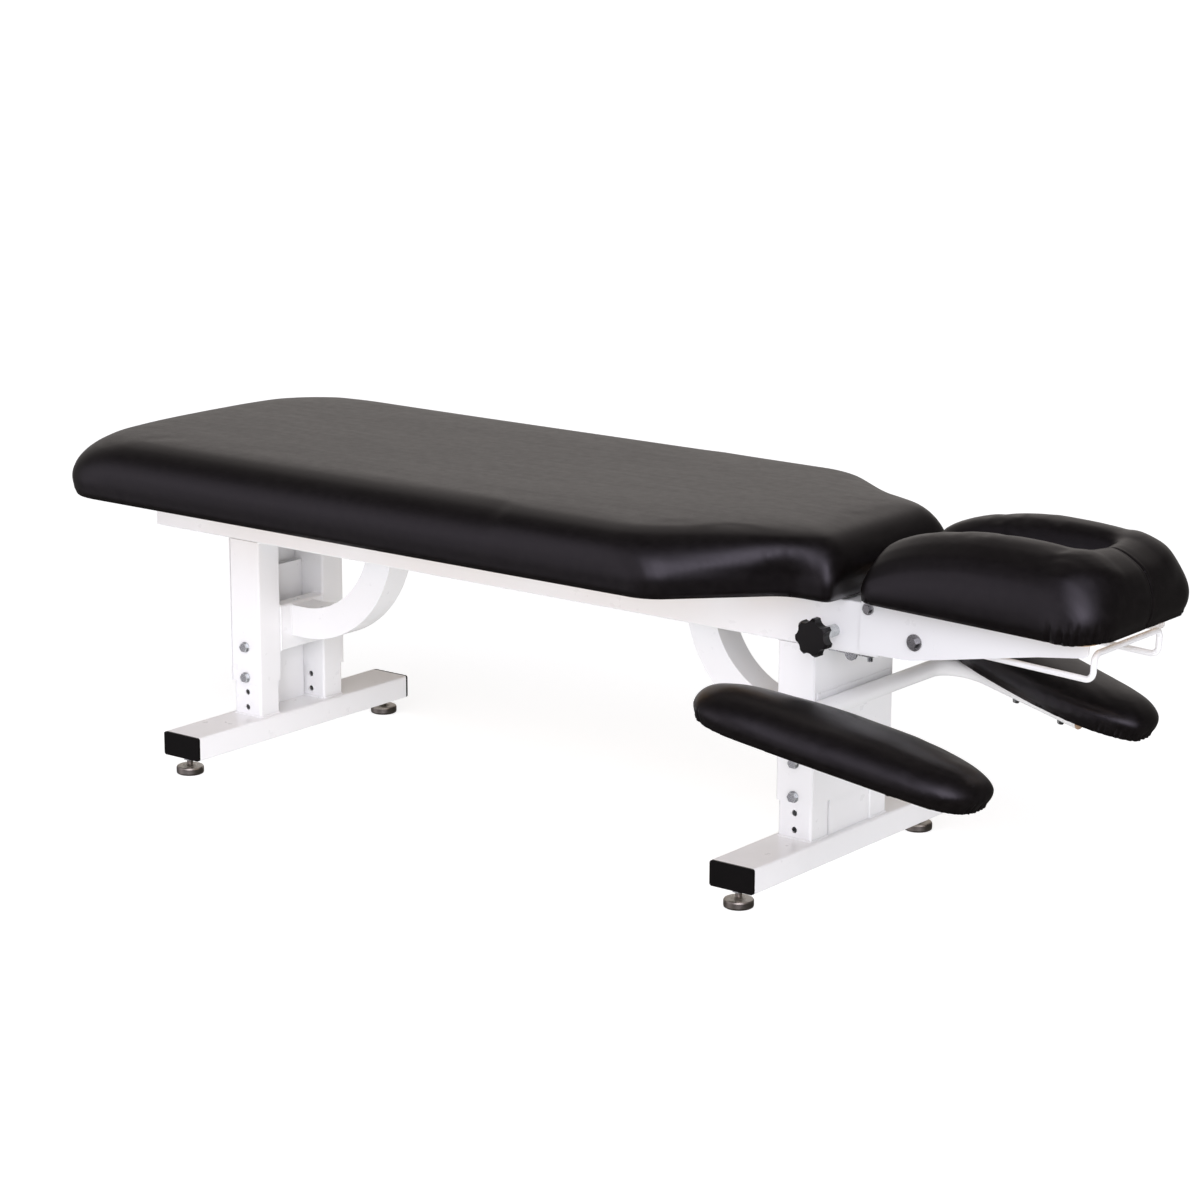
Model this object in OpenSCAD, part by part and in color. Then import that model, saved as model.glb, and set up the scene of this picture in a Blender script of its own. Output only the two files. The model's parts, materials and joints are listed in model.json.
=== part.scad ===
// Treatment table with a tilting headpiece, fixed armrests and bolt-set leg heights.
// Origin: on the floor, under the middle of the overall length and width.
// +X points to the head end, +Y to the far long side, +Z up. Units: millimetres.

/* [Cushions] */
// Foot end of the body cushion, measured back from the origin
foot_end = 914.4; // [900:0.1:930]
// Full width of the body cushion
cushion_w = 609.6; // [590:0.1:630]
// Half width of the neck next to the headpiece
neck_half = 161; // [155:1:166]
// Height of the cushion board's underside above the floor
board_z = 441; // [441:1:441]
// Height of the body cushion from its underside to the crown
cushion_t = 97.5; // [90:0.5:110]
// Height of the head cushion from its underside to the crown
head_t = 115; // [105:1:120]
// Half width of the head cushion
head_half = 151; // [148:1:153]
// Half width of the face slot
slot_half = 24; // [20:1:27]
// Head end of the head cushion before the headpiece is tilted
head_end = 912.1; // [905:0.1:920]

/* [Frame] */
// Half width of the frame and of each stand, outside the legs
frame_half = 101.6; // [101.6:0.1:101.6]
// Height of the side rails
rail_h = 76.2; // [70:0.1:76.2]
// Underside of the side rails above the floor
rail_z = 358.8; // [358.8:0.1:358.8]
// Wall of the side rails
rail_wall = 2.5; // [2:0.1:3]
// Foot end of the side rails, measured back from the origin
rail_foot = 873.6; // [860:0.1:880]
// Head end of the side rails
rail_head = 541; // [539:1:542]

/* [Stands] */
// Centre of the foot stand, measured back from the origin
foot_x = 678.5; // [670:0.5:690]
// Centre of the head stand
head_x = 403; // [403:0.5:403]
// Length of a base tube with its two end plugs
base_len = 508; // [480:1:540]
// Width of a base tube
base_w = 76.2; // [70:0.1:80]
// Height of a base tube
base_h = 38.1; // [38.1:0.1:38.1]
// Underside of a base tube above the floor
base_z = 28.6; // [28.6:0.1:28.6]
// Sleeve size along the table
sleeve_x = 63.5; // [63.5:0.1:63.5]
// Sleeve size across the table
sleeve_y = 50.8; // [50.8:0.1:50.8]
// Sleeve wall
sleeve_wall = 2.6; // [2.4:0.1:2.8]
// Lower edge of the sleeves above the floor
sleeve_z = 121.6; // [118:0.1:125]
// Spacing of the height holes
hole_pitch = 25.4; // [25.4:0.1:25.4]
// Diameter of the height holes
hole_d = 9.5; // [8.5:0.1:11]

/* [Headpiece] */
// Tilt of the headpiece as it stands, in degrees below level
head_tilt = 1.85; // [1.85:0.01:1.85]
// Pivot of the headpiece along the table
pivot_x = 527; // [527:1:527]
// Pivot of the headpiece above the floor
pivot_z = 429; // [429:1:429]
// Diameter of the star knob over its lobes
knob_d = 56; // [50:1:60]

/* [Armrests] */
// Downward pitch of the armrests in degrees
arm_pitch = 12.4; // [12.4:0.1:12.4]
// Length of an armrest pad
pad_len = 433.6; // [420:0.1:440]
// Thickness of an armrest pad
pad_t = 51; // [45:1:55]

/* [Hidden] */
$fn = 48;

e = 0.05;                                   // radial clearance of a running fit
fx = -foot_x;
hx = head_x;
leg_x = sleeve_x - 2*sleeve_wall - 0.6;     // lower leg, along the table
leg_y = sleeve_y - 2*sleeve_wall - 0.6;     // lower leg, across the table
leg_cy = frame_half - sleeve_y/2;           // centre line of the legs, to each side
in_y = frame_half - sleeve_y;               // inner face of rails and sleeves
base_top = base_z + base_h;
leg_top = 345;
hole_z0 = 80;                               // lowest height hole
holes = 11;
bolt_z = [hole_z0 + 2*hole_pitch, hole_z0 + 4*hole_pitch];
foot_y = 235;                               // levelling feet, to each side
rail_top = rail_z + rail_h;
strap_t = board_z - rail_top;
brace_cz = 381.6;                           // centre of the brace bend
brace_r = 164.4;
brace_s = 50.8;
brace_fx = fx + sleeve_x/2 + 30.2;          // centre of the foot brace bend
brace_hx = hx - sleeve_x/2 - 30.2;
member_x = [-836, fx, brace_fx + brace_r, brace_hx - brace_r, hx - 20];
strap_x = [-800, -430, -60, 270];
strap_half = [240, 240, 240, 240];
board_t = 18;
knob_x = 468;
knob_z = 388.3;
link_x = 604;
link_z = 392.3;
link_y0 = 43;                               // inner face of the friction link, to the near side
link_y1 = 49;
bar_x = 450.45;
bar_z = 270.4;
bar_r = 12.7;
arm_y0 = 182;                               // where the bends of the armrest bar start, to each side
arm_bend = 60;
arm_s = 0.07584;                            // sine and cosine of the toe-in of the arms
arm_c = 0.99712;
arm_toe = asin(arm_s);
arm_t = arm_bend*(1 + arm_s)/arm_c;         // bend start to corner
arm_y = arm_y0 + arm_t;                     // corner of the armrest bar, to each side
arm_end = 239;                              // corner to tube end
pad_toe = 12.1;
pad_cx = 139.5;                             // pad centre, along the pitched bar plane
pad_cy = 251.7;
pad_z = bar_r + 3.5;
pad_out = 75.4;
pad_in = 70.9;
tan_bolt = [123, 205];                      // pad bolts along each arm

module b3(x0, x1, y0, y1, z0, z1) { translate([x0, y0, z0]) cube([x1 - x0, y1 - y0, z1 - z0]); }
module ycyl(x, z, y0, y1, r, f = 48) { translate([x, y0, z]) rotate([-90, 0, 0]) cylinder(r = r, h = y1 - y0, $fn = f); }
module hexz(x, y, z0, h, af) { translate([x, y, z0]) cylinder(d = af/cos(30), h = h, $fn = 6); }
module hexy(x, z, y0, h, af) { translate([x, y0, z]) rotate([-90, 0, 0]) cylinder(d = af/cos(30), h = h, $fn = 6); }
// rectangle with rounded corners, from exact arcs
module rrect(w, h, r) {
    square([w - 2*r, h], center = true);
    square([w, h - 2*r], center = true);
    for (sx = [-1, 1], sy = [-1, 1]) translate([sx*(w/2 - r), sy*(h/2 - r)]) circle(r = r, $fn = 32);
}
// square or rectangular tube wall in 2D
module tube2(w, h, r, t) { difference() { rrect(w, h, r); rrect(w - 2*t, h - 2*t, max(r - t, 0.8)); } }
// upright tube centred on x, y
module upright(x, y, w, h, r, t, z0, z1) { translate([x, y, z0]) linear_extrude(z1 - z0) tube2(w, h, r, t); }
// tube along Y, section in X and Z
module ytube(x, z, w, h, r, t, y0, y1) { translate([x, y1, z]) rotate([90, 0, 0]) linear_extrude(y1 - y0) tube2(w, h, r, t); }
// tube along X, section in Y and Z
module xtube(y, z, w, h, r, t, x0, x1) { translate([x0, y, z]) rotate([90, 0, 90]) linear_extrude(x1 - x0) tube2(w, h, r, t); }

// ---------- stands ----------
module base_tube(x) {
    difference() {
        ytube(x, base_z + base_h/2, base_w, base_h, 3, 2.5, -base_len/2 + 4, base_len/2 - 4);
        for (s = [-1, 1]) translate([x, s*foot_y, base_z - 1]) cylinder(r = 5 + e, h = 6);
    }
}
module base_caps(x) {
    for (s = [-1, 1]) {
        translate([x, s*(base_len/2 - 2), base_z + base_h/2]) rotate([90, 0, 0])
            linear_extrude(4, center = true) rrect(base_w, base_h, 4);
        translate([x, s*(base_len/2 - 7.5), base_z + base_h/2]) rotate([90, 0, 0])
            linear_extrude(7, center = true) tube2(base_w - 5.2, base_h - 5.2, 2, 2.2);
    }
}
module leg(x, s) {
    difference() {
        upright(x, s*leg_cy, leg_x, leg_y, 4, 2.5, base_top, leg_top);
        for (i = [0 : holes - 1])
            ycyl(x, hole_z0 + i*hole_pitch, s*leg_cy - 30, s*leg_cy + 30, hole_d/2);
    }
}
// folded box panel between the lower legs, outboard side o = -1 or 1
module lower_panel(x, o) {
    translate([x + o*(leg_x/2 - 7.5), 0, base_top]) linear_extrude(300 - base_top) difference() {
        square([15, 2*in_y - 1], center = true);
        square([11.4, 2*in_y - 4.6], center = true);
    }
}
module lock_nuts(x) {
    for (s = [-1, 1]) difference() {
        hexz(x, s*foot_y, base_z - 6, 6, 17);
        translate([x, s*foot_y, base_z - 7]) cylinder(r = 5 + e, h = 8);
    }
}
module leveler(x, s) {
    translate([x, s*foot_y, 0]) {
        rotate_extrude() polygon([[0, 0], [19.5, 0], [21.5, 1.2], [22, 3], [22, 10], [21, 12], [19, 13], [12, 13], [9, 14.5], [5, 15.5], [5, 54], [4, 55], [0, 55]]);
    }
}
module sleeve(x, s) {
    difference() {
        upright(x, s*leg_cy, sleeve_x, sleeve_y, 4, sleeve_wall, sleeve_z, rail_z);
        for (z = bolt_z) ycyl(x, z, s > 0 ? frame_half - 4 : -frame_half - 1, s > 0 ? frame_half + 1 : -frame_half + 4, 4 + e);
    }
}
// flush sheet over the outboard faces of both sleeves
module upper_panel(x, o) {
    xo = x + o*sleeve_x/2;
    b3(min(xo, xo + o*1.5), max(xo, xo + o*1.5), -frame_half + 0.6, frame_half - 0.6, sleeve_z, rail_z);
}
// cross tube between the sleeves, inboard side i = -1 or 1
module cross_tube(x, i) {
    xi = x + i*(sleeve_x/2 - 12.7);
    ytube(xi, 208.1, 25.4, 76.2, 3, 2.5, -in_y, in_y);
}
// curved square-tube brace from the cross tube up to a cross member, i = 1 rises towards +X
module brace(x, cx, i) {
    translate([cx, 0, brace_cz]) mirror([i > 0 ? 0 : 1, 0, 0]) {
        rotate([90, 0, 0]) rotate([0, 0, -90]) rotate_extrude(angle = 90, $fn = 96)
            translate([brace_r, 0]) difference() {
                square([brace_s, brace_s], center = true);
                square([brace_s - 6, brace_s - 6], center = true);
            }
        translate([-30.2, 0, -brace_r]) rotate([90, 0, 90]) linear_extrude(30.2) difference() {
            square([brace_s, brace_s], center = true);
            square([brace_s - 6, brace_s - 6], center = true);
        }
    }
}

// ---------- frame ----------
module rail(s) {
    difference() {
        xtube(s*leg_cy, rail_z + rail_h/2, 50.8, rail_h, 3, rail_wall, -rail_foot + 3, rail_head - 3);
        // openings that let the lower legs rise inside the rail at the low settings
        for (x = [fx, hx]) b3(x - leg_x/2 - 0.6, x + leg_x/2 + 0.6, s*leg_cy - leg_y/2 - 0.3, s*leg_cy + leg_y/2 + 0.3, rail_z - 1, rail_z + rail_wall + 0.6);
        // pivot bolt
        ycyl(pivot_x, pivot_z - 4 + 4, s*leg_cy - 30, s*leg_cy + 30, 6 + e);
        // clamp stud and bracket bolts, near side only
        if (s < 0) {
            ycyl(knob_x, knob_z, s*leg_cy - 30, s*leg_cy + 30, 5 + e);
            for (x = [468, 504]) translate([x, -64, rail_z - 1]) cylinder(r = 4 + e, h = 6);
        }
    }
}
module rail_end_caps() {
    for (s = [-1, 1]) {
        translate([-rail_foot, s*leg_cy, rail_z + rail_h/2]) rotate([90, 0, 90]) linear_extrude(3) rrect(50.8, rail_h, 3);
        translate([rail_head - 3, s*leg_cy, rail_z + rail_h/2]) rotate([90, 0, 90]) linear_extrude(3) rrect(50.8, rail_h, 3);
    }
}
module cross_members() { for (x = member_x) ytube(x, brace_cz + 25.4, 50.8, 50.8, 3, 2.5, -in_y, in_y); }
module cushion_straps() {
    for (i = [0 : len(strap_x) - 1]) difference() {
        b3(strap_x[i] - 25, strap_x[i] + 25, -strap_half[i], strap_half[i], rail_top, board_z);
        for (s = [-1, 1]) translate([strap_x[i], s*180, rail_top - 1]) cylinder(r = 3 + e, h = 10);
    }
    b3(430, 470, -140, 140, rail_top, board_z);
}
// plan outline of the body cushion, drawn in by d
function body_pts(d) = let (h = cushion_w/2 - d, n = neck_half - d, f = -foot_end + d)
    [[f, -h], [284 - d*0.41, -h], [425 - d*0.41, -n], [499.2 - d, -n], [499.2 - d, n], [425 - d*0.41, n], [284 - d*0.41, h], [f, h]];
module body_main2(d) {
    h = cushion_w/2 - d; f = -foot_end + d; rc = max(95 - d, 20);
    hull() {
        for (s = [-1, 1]) {
            translate([f + rc, s*(h - rc)]) circle(r = rc, $fn = 40);
            translate([262 - d*0.41, s*(h - 50)]) circle(r = 50, $fn = 40);
            translate([405 - d*0.41, s*(neck_half - 22 - d)]) circle(r = 22, $fn = 32);
        }
    }
}
module body_neck2(d) {
    hull() for (s = [-1, 1]) {
        translate([360, s*(neck_half - d - 12)]) circle(r = 12, $fn = 24);
        translate([499.2 - d - 20, s*(neck_half - d - 20)]) circle(r = 20, $fn = 24);
    }
}
module slab(z, t) { translate([0, 0, z]) linear_extrude(t) children(); }
module body_board() {
    difference() {
        union() { slab(board_z, board_t) body_main2(9); slab(board_z, board_t) body_neck2(9); }
        for (x = strap_x, s = [-1, 1]) translate([x, s*180, board_z - 1]) cylinder(r = 3 + e, h = 13);
    }
}
module body_cushion() {
    t = cushion_t;
    difference() {
        union() {
            hull() {
                slab(board_z, 1) body_main2(5);
                slab(board_z + 28, 14) body_main2(0);
                slab(board_z + t*0.76, 1) body_main2(13);
                slab(board_z + t*0.9, 1) body_main2(30);
                slab(board_z + t - 4.5, 1) body_main2(58);
                slab(board_z + t - 1, 1) body_main2(130);
            }
            hull() {
                slab(board_z, 1) body_neck2(5);
                slab(board_z + 28, 14) body_neck2(0);
                slab(board_z + t*0.76, 1) body_neck2(13);
                slab(board_z + t*0.9, 1) body_neck2(30);
                slab(board_z + t - 4.5, 1) body_neck2(58);
                slab(board_z + t - 2, 1) body_neck2(90);
            }
        }
        slab(board_z - 1, board_t + 1) body_main2(9);
        slab(board_z - 1, board_t + 1) body_neck2(9);
    }
}
module board_screws() {
    for (x = strap_x, s = [-1, 1]) translate([x, s*180, 0]) {
        translate([0, 0, board_z - strap_t - 3.5]) cylinder(r1 = 5, r2 = 6, h = 3.5);
        translate([0, 0, board_z - strap_t]) cylinder(r = 3, h = strap_t + 10);
    }
}
module height_bolts() {
    for (x = [fx, hx], s = [-1, 1], z = bolt_z) {
        hexy(x, z, s > 0 ? frame_half + 1.6 : -frame_half - 1.6 - 5.5, 5.5, 13);
        ycyl(x, z, s > 0 ? frame_half - 2.3 : -frame_half - 1.6, s > 0 ? frame_half + 1.6 : -frame_half + 2.3, 4);
    }
}
module height_washers() {
    for (x = [fx, hx], s = [-1, 1], z = bolt_z) difference() {
        ycyl(x, z, s > 0 ? frame_half : -frame_half - 1.6, s > 0 ? frame_half + 1.6 : -frame_half, 8.7);
        ycyl(x, z, s > 0 ? frame_half - 1 : -frame_half - 3, s > 0 ? frame_half + 3 : -frame_half + 1, 4 + e);
    }
}

// ---------- headpiece ----------
plate_y = frame_half + 0.3;                 // inner face of the headpiece plates
plate_t = 4;
module tilted() { translate([pivot_x, 0, pivot_z]) rotate([0, head_tilt, 0]) translate([-pivot_x, 0, -pivot_z]) children(); }
function tilt_z(x, z) = pivot_z + (z - pivot_z)*cos(head_tilt) + (x - pivot_x)*sin(head_tilt);
head_z = 447;                               // underside of the head board, before tilt
module pivot_bolts() {
    for (s = [-1, 1]) {
        y0 = plate_y + plate_t + 0.3;
        ycyl(pivot_x, pivot_z, s > 0 ? in_y - 9 : -y0 - 2, s > 0 ? y0 + 2 : -in_y + 9, 6);
        ycyl(pivot_x, pivot_z, s > 0 ? y0 : -y0 - 2.2, s > 0 ? y0 + 2.2 : -y0, 8.8);
        hexy(pivot_x, pivot_z, s > 0 ? y0 + 2.2 : -y0 - 2.2 - 5, 5, 11);
    }
}
module pivot_nuts() {
    for (s = [-1, 1]) difference() {
        hexy(pivot_x, pivot_z, s > 0 ? in_y - 7.5 : -in_y, 7.5, 17);
        ycyl(pivot_x, pivot_z, s > 0 ? in_y - 10 : -in_y - 1, s > 0 ? in_y + 1 : -in_y + 10, 6 + e);
    }
}
module plate(s) {
    y0 = s > 0 ? plate_y : -plate_y - plate_t;
    difference() {
        tilted() translate([0, y0 + plate_t, 0]) rotate([90, 0, 0]) linear_extrude(plate_t) difference() {
            union() {
                polygon([[514.5, 368], [518.5, 364], [586, 366], [600, 367.3], [800, 411.5], [872, 423.5], [876, 426], [878, 430], [878, head_z], [518.5, head_z], [514.5, 443]]);
                translate([518.5, 368]) circle(r = 4, $fn = 32);
                translate([518.5, 443]) circle(r = 4, $fn = 32);
            }
            translate([640, 393.8]) circle(r = 4.5 + e, $fn = 32);
        }
        ycyl(pivot_x, pivot_z, y0 - 1, y0 + plate_t + 1, 6 + e);
        ycyl(link_x, link_z, y0 - 1, y0 + plate_t + 1, 5 + e);
    }
}
module headpiece_crossbars() {
    tilted() {
        ytube(575, 434.3, 25.4, 25.4, 2.5, 2.2, -plate_y, plate_y);
        ytube(832.5, 437, 25.4, 20, 2.5, 2.2, -plate_y, plate_y);
    }
}
module head2(d, x0 = 523, x1 = 0) {
    r = max(34 - d, 6);
    xe = head_end - x1;
    hull() {
        for (s = [-1, 1]) {
            translate([x0 + d + r*0.7, s*(head_half - d - r*0.7)]) circle(r = r*0.7, $fn = 24);
            translate([xe - d - r*1.4, s*(head_half - d - r*1.4)]) circle(r = r*1.4, $fn = 32);
        }
    }
}
// rounded opening of the head board
module board_slot() { for (x = [600, 818], y = [-21, 21]) translate([x, y]) circle(r = 10, $fn = 32); translate([600, -31]) square([218, 62]); translate([590, -21]) square([238, 42]); }
module head_board() {
    tilted() difference() {
        slab(head_z, 15) head2(12, 523, 8);
        slab(head_z - 1, 17) board_slot();
    }
}
// one padded half of the head cushion; a and b draw in its foot and head ends, o and i its outer and inner sides
module head_half_pad(s) {
    hh = (head_half - slot_half)/2;
    cy = s*(slot_half + hh);
    module sec(a, b, o, i) { hull() {
        translate([523 + a + 14, cy - s*(hh - i - 14)]) circle(r = 14, $fn = 20);
        translate([523 + a + 16, cy + s*(hh - o - 16)]) circle(r = 16, $fn = 20);
        translate([head_end - b - 44, cy - s*(hh - i - 14)]) circle(r = 14, $fn = 20);
        translate([head_end - b - max(46 - o, 16), cy + s*(hh - o - max(46 - o, 16))]) circle(r = max(46 - o, 16), $fn = 28);
    } }
    hull() {
        slab(head_z, 1) sec(4, 6, 4, 0);
        slab(head_z + 35, 14) sec(0, 0, 0, 0);
        slab(head_z + head_t*0.6, 1) sec(18, 3, 4, 3);
        slab(head_z + head_t*0.73, 1) sec(42, 8, 11, 9);
        slab(head_z + head_t*0.89, 1) sec(98, 31, 27, 20);
        slab(head_z + head_t - 1, 1) sec(180, 86, 46, 36);
    }
}
module head_join() {
    module sec(a, b, o) { hull() for (s = [-1, 1]) {
        translate([828 + a + 12, s*(100 - o)]) circle(r = 12, $fn = 20);
        translate([head_end + 0.3 - b - 20, s*(106 - o)]) circle(r = 20, $fn = 24);
    } }
    hull() {
        slab(head_z, 1) sec(0, 7, 0);
        slab(head_z + 35, 14) sec(0, 0, 0);
        slab(head_z + head_t*0.73, 1) sec(3, 6, 10);
        slab(head_z + head_t*0.89, 1) sec(12, 30, 30);
        slab(head_z + head_t*0.96, 1) sec(24, 44, 50);
    }
}
module head_cushion() {
    tilted() difference() {
        union() { head_half_pad(-1); head_half_pad(1); head_join(); }
        difference() {
            slab(head_z - 1, 16) head2(12, 523, 8);
            slab(head_z - 1, 16) board_slot();
        }
    }
}
// long bolt that carries the friction link, with washers and nut
module link_bolt() {
    y0 = plate_y + plate_t;
    ycyl(link_x, link_z, -y0 - 2, y0 + 11, 5);
    ycyl(link_x, link_z, -y0 - 2, -y0, 12);
    hexy(link_x, link_z, -y0 - 2 - 6.4, 6.4, 13);
    ycyl(link_x, link_z, y0, y0 + 2, 12.5);
    hexy(link_x, link_z, y0 + 2, 8, 16);
}
module link_spacers() {
    difference() {
        ycyl(link_x, link_z, -plate_y, -link_y1 - 0.3, 8);
        ycyl(link_x, link_z, -plate_y - 1, -link_y1 + 1, 5 + e);
    }
    difference() {
        ycyl(link_x, link_z, -link_y0 + 0.3, plate_y, 8);
        ycyl(link_x, link_z, -link_y0 - 1, plate_y + 1, 5 + e);
    }
}
link_a = atan2(link_z - knob_z, link_x - knob_x);
module tilt_link() {
    // slotted flat bar, drawn from its pin along its own length
    translate([link_x, -link_y0, link_z]) rotate([90, 0, 0]) linear_extrude(link_y1 - link_y0) rotate([0, 0, 180 + link_a]) difference() {
        union() {
            translate([0, -11]) square([154, 22]);
            circle(r = 11);
            translate([154, 0]) circle(r = 11);
        }
        circle(r = 5 + e);
        translate([109, -6.3]) square([43, 12.6]);
        translate([109, 0]) circle(r = 6.3);
        translate([152, 0]) circle(r = 6.3);
    }
}
module friction_washers() {
    difference() {
        union() {
            ycyl(knob_x, knob_z, -in_y, -link_y1 - 0.2, 11);
            ycyl(knob_x, knob_z, -link_y0 + 0.2, -41, 11);
        }
        ycyl(knob_x, knob_z, -60, -30, 5 + e);
    }
}
module tilt_bracket() {
    difference() {
        union() {
            b3(452, 520, -92, -37, rail_z - 4, rail_z);
            b3(452, 484, -41, -37, rail_z - 4, 404);
            hexy(knob_x, knob_z, -37, 8, 17);
            intersection() { ycyl(489.5, 355.4, -92, -89, 10); b3(470, 510, -93, -88, rail_z - 20, rail_z - 2); }
        }
        ycyl(knob_x, knob_z, -45, -25, 5 + e);
        for (x = [468, 504]) translate([x, -64, rail_z - 6]) cylinder(r = 4 + e, h = 10);
    }
}
module bracket_bolts() {
    for (x = [468, 504]) {
        hexz(x, -64, rail_z + rail_wall, 5.5, 13);
        translate([x, -64, rail_z - 18]) cylinder(r = 4, h = 18 + rail_wall);
        hexz(x, -64, rail_z - 11, 7, 13);
    }
}
module star_knob() {
    lobes = 7;
    difference() {
        translate([knob_x, -147, knob_z]) rotate([90, 0, 0]) difference() {
            union() {
                cylinder(r = knob_d/2, h = 12.5);
                translate([0, 0, 12.5]) cylinder(r1 = knob_d/2, r2 = knob_d/2 - 3, h = 3.5);
            }
            for (i = [0 : lobes - 1]) rotate(5.9 + i*360/lobes) translate([knob_d/2 + 6, 0, -1]) cylinder(r = 12, h = 30);
        }
        ycyl(knob_x, knob_z, -157, -146, 5 + e);
    }
}
module knob_stud() {
    ycyl(knob_x, knob_z, -157, -26, 5);
    difference() { ycyl(knob_x, knob_z, -147, -frame_half - 0.3, 9); ycyl(knob_x, knob_z, -160, -80, 4.5); }
}
// round rod or tube: straight run along +Z, and a bend in the XY plane that starts at the origin along +Y
module ring(r, ri) { difference() { circle(r = r, $fn = 48); if (ri > 0) circle(r = ri, $fn = 48); } }
module run(r, ri, h) { linear_extrude(h) ring(r, ri); }
module bend(r, ri, br, a) { translate([br, 0, 0]) rotate([0, 0, 180 - a]) rotate_extrude(angle = a, $fn = 96) translate([br, 0]) ring(r, ri); }
// wire bail under the head end, drawn before tilt
module wire_bail() {
    r = 4.5; br = 12; ly = 90; bl = 238.6; bh = 37;
    tilted() translate([640, 0, 393.8]) rotate([0, 0.8, 0]) {
        for (s = [0, 1]) mirror([0, s, 0]) {
            // pivot stub through the side plate, bend, leg towards the head end
            translate([0, ly + br, 0]) rotate([-90, 0, 0]) run(r, 0, plate_y + plate_t - 0.3 - ly - br);
            translate([0, ly + br, 0]) mirror([0, 1, 0]) bend(r, 0, br, 90);
            translate([br, ly, 0]) rotate([0, 90, 0]) run(r, 0, bl - 2*br);
            // bend up, upright, bend inwards
            translate([bl - br, ly, 0]) rotate([90, 0, 0]) rotate([0, 0, -90]) mirror([1, 0, 0]) bend(r, 0, br, 90);
            translate([bl, ly, br]) run(r, 0, bh - 2*br);
            translate([bl, ly, bh - br]) rotate([0, 0, -90]) rotate([90, 0, 0]) bend(r, 0, br, 90);
        }
        translate([bl, br - ly, bh]) rotate([-90, 0, 0]) run(r, 0, 2*(ly - br));
    }
}

// ---------- armrests ----------
module arm_frame() { translate([bar_x, 0, bar_z]) rotate([0, arm_pitch, 0]) children(); }
module toe_in() { multmatrix([[arm_c, arm_s, 0, 0], [-arm_s, arm_c, 0, 0], [0, 0, 1, 0], [0, 0, 0, 1]]) children(); }
module arm_path(r, ri) {
    translate([0, -arm_y0, 0]) rotate([-90, 0, 0]) run(r, ri, 2*arm_y0);
    for (m = [0, 1]) mirror([0, m, 0]) translate([arm_bend, arm_y0, 0]) {
        intersection() {
            rotate_extrude($fn = 96) translate([arm_bend, 0]) ring(r, ri);
            union() {
                translate([-100, 0, -20]) cube([100, 100, 40]);
                toe_in() translate([-40, 0, -20]) cube([40, 100, 40]);
            }
        }
        toe_in() translate([0, arm_bend, 0]) rotate([0, 90, 0]) run(r, ri, arm_end - 3 - arm_t);
    }
}
module armrest_backplate() {
    b3(hx + sleeve_x/2 + 1.5, bar_x - bar_r, -95, 95, 247, 288);
}
module armrest_bar() {
    arm_frame() difference() {
        arm_path(bar_r, bar_r - 2);
        for (s = [-1, 1], a = tan_bolt) translate([0, s*arm_y, 0]) rotate([0, 0, -s*arm_toe]) translate([a, 0, -20]) cylinder(r = 3 + e, h = 40);
    }
}
module armrest_plugs() {
    arm_frame() for (s = [-1, 1]) translate([0, s*arm_y, 0]) rotate([0, 0, -s*arm_toe]) translate([arm_end - 3, 0, 0]) rotate([0, 90, 0]) {
        cylinder(r = bar_r, h = 2);
        translate([0, 0, 2]) cylinder(r1 = bar_r, r2 = bar_r - 1.5, h = 1);
        translate([0, 0, -14]) cylinder(r = bar_r - 2, h = 14);
    }
}
module armrest_saddles() {
    arm_frame() for (s = [-1, 1]) translate([0, s*arm_y, 0]) rotate([0, 0, -s*arm_toe]) difference() {
        for (a = tan_bolt) translate([a - 14, -11, 4]) cube([28, 22, pad_z - 4]);
        translate([50, 0, 0]) rotate([0, 90, 0]) cylinder(r = bar_r, h = 220);
        for (a = tan_bolt) translate([a, 0, -20]) cylinder(r = 3 + e, h = 60);
    }
}
module armrest_bolts() {
    arm_frame() for (s = [-1, 1], a = tan_bolt) translate([0, s*arm_y, 0]) rotate([0, 0, -s*arm_toe]) translate([a, 0, 0]) {
        translate([0, 0, -bar_r - 4.5]) cylinder(r1 = 4.5, r2 = 6, h = 4.5);
        translate([0, 0, -bar_r]) cylinder(r = 3, h = bar_r + pad_z + 9);
    }
}
// plan outline of an armrest pad: straight outer side, bowed inner side; k scales the widths, m the length
function pad_w(u, n, w) = w*sqrt(max(0, 1 - pow(abs(u), n)));
function pad_pts(k, m) = let (L = pad_len/2)
    concat([for (i = [-20 : 20]) let (u = sin(i*4.5)) [m*L*u, k*pad_w(u, u < 0 ? 6.7 : 8, pad_out)]],
           [for (i = [20 : -1 : -20]) let (u = sin(i*4.5)) [m*L*u, -k*pad_w(u, 2.15, pad_in)]]);
module pad2(k, m) { polygon([for (p = pad_pts(k, m)) p]); }
module pad_frame(s) { arm_frame() translate([pad_cx, s*pad_cy, pad_z]) rotate([0, 0, -s*pad_toe]) mirror([0, s > 0 ? 0 : 1, 0]) children(); }
module armrest_boards() {
    for (s = [-1, 1]) difference() {
        pad_frame(s) translate([0, 0, 0]) linear_extrude(12) pad2(0.84, 0.93);
        arm_frame() for (a = tan_bolt) translate([0, s*arm_y, 0]) rotate([0, 0, -s*arm_toe]) translate([a, 0, pad_z - 5]) cylinder(r = 3 + e, h = 14.5);
    }
}
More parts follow.
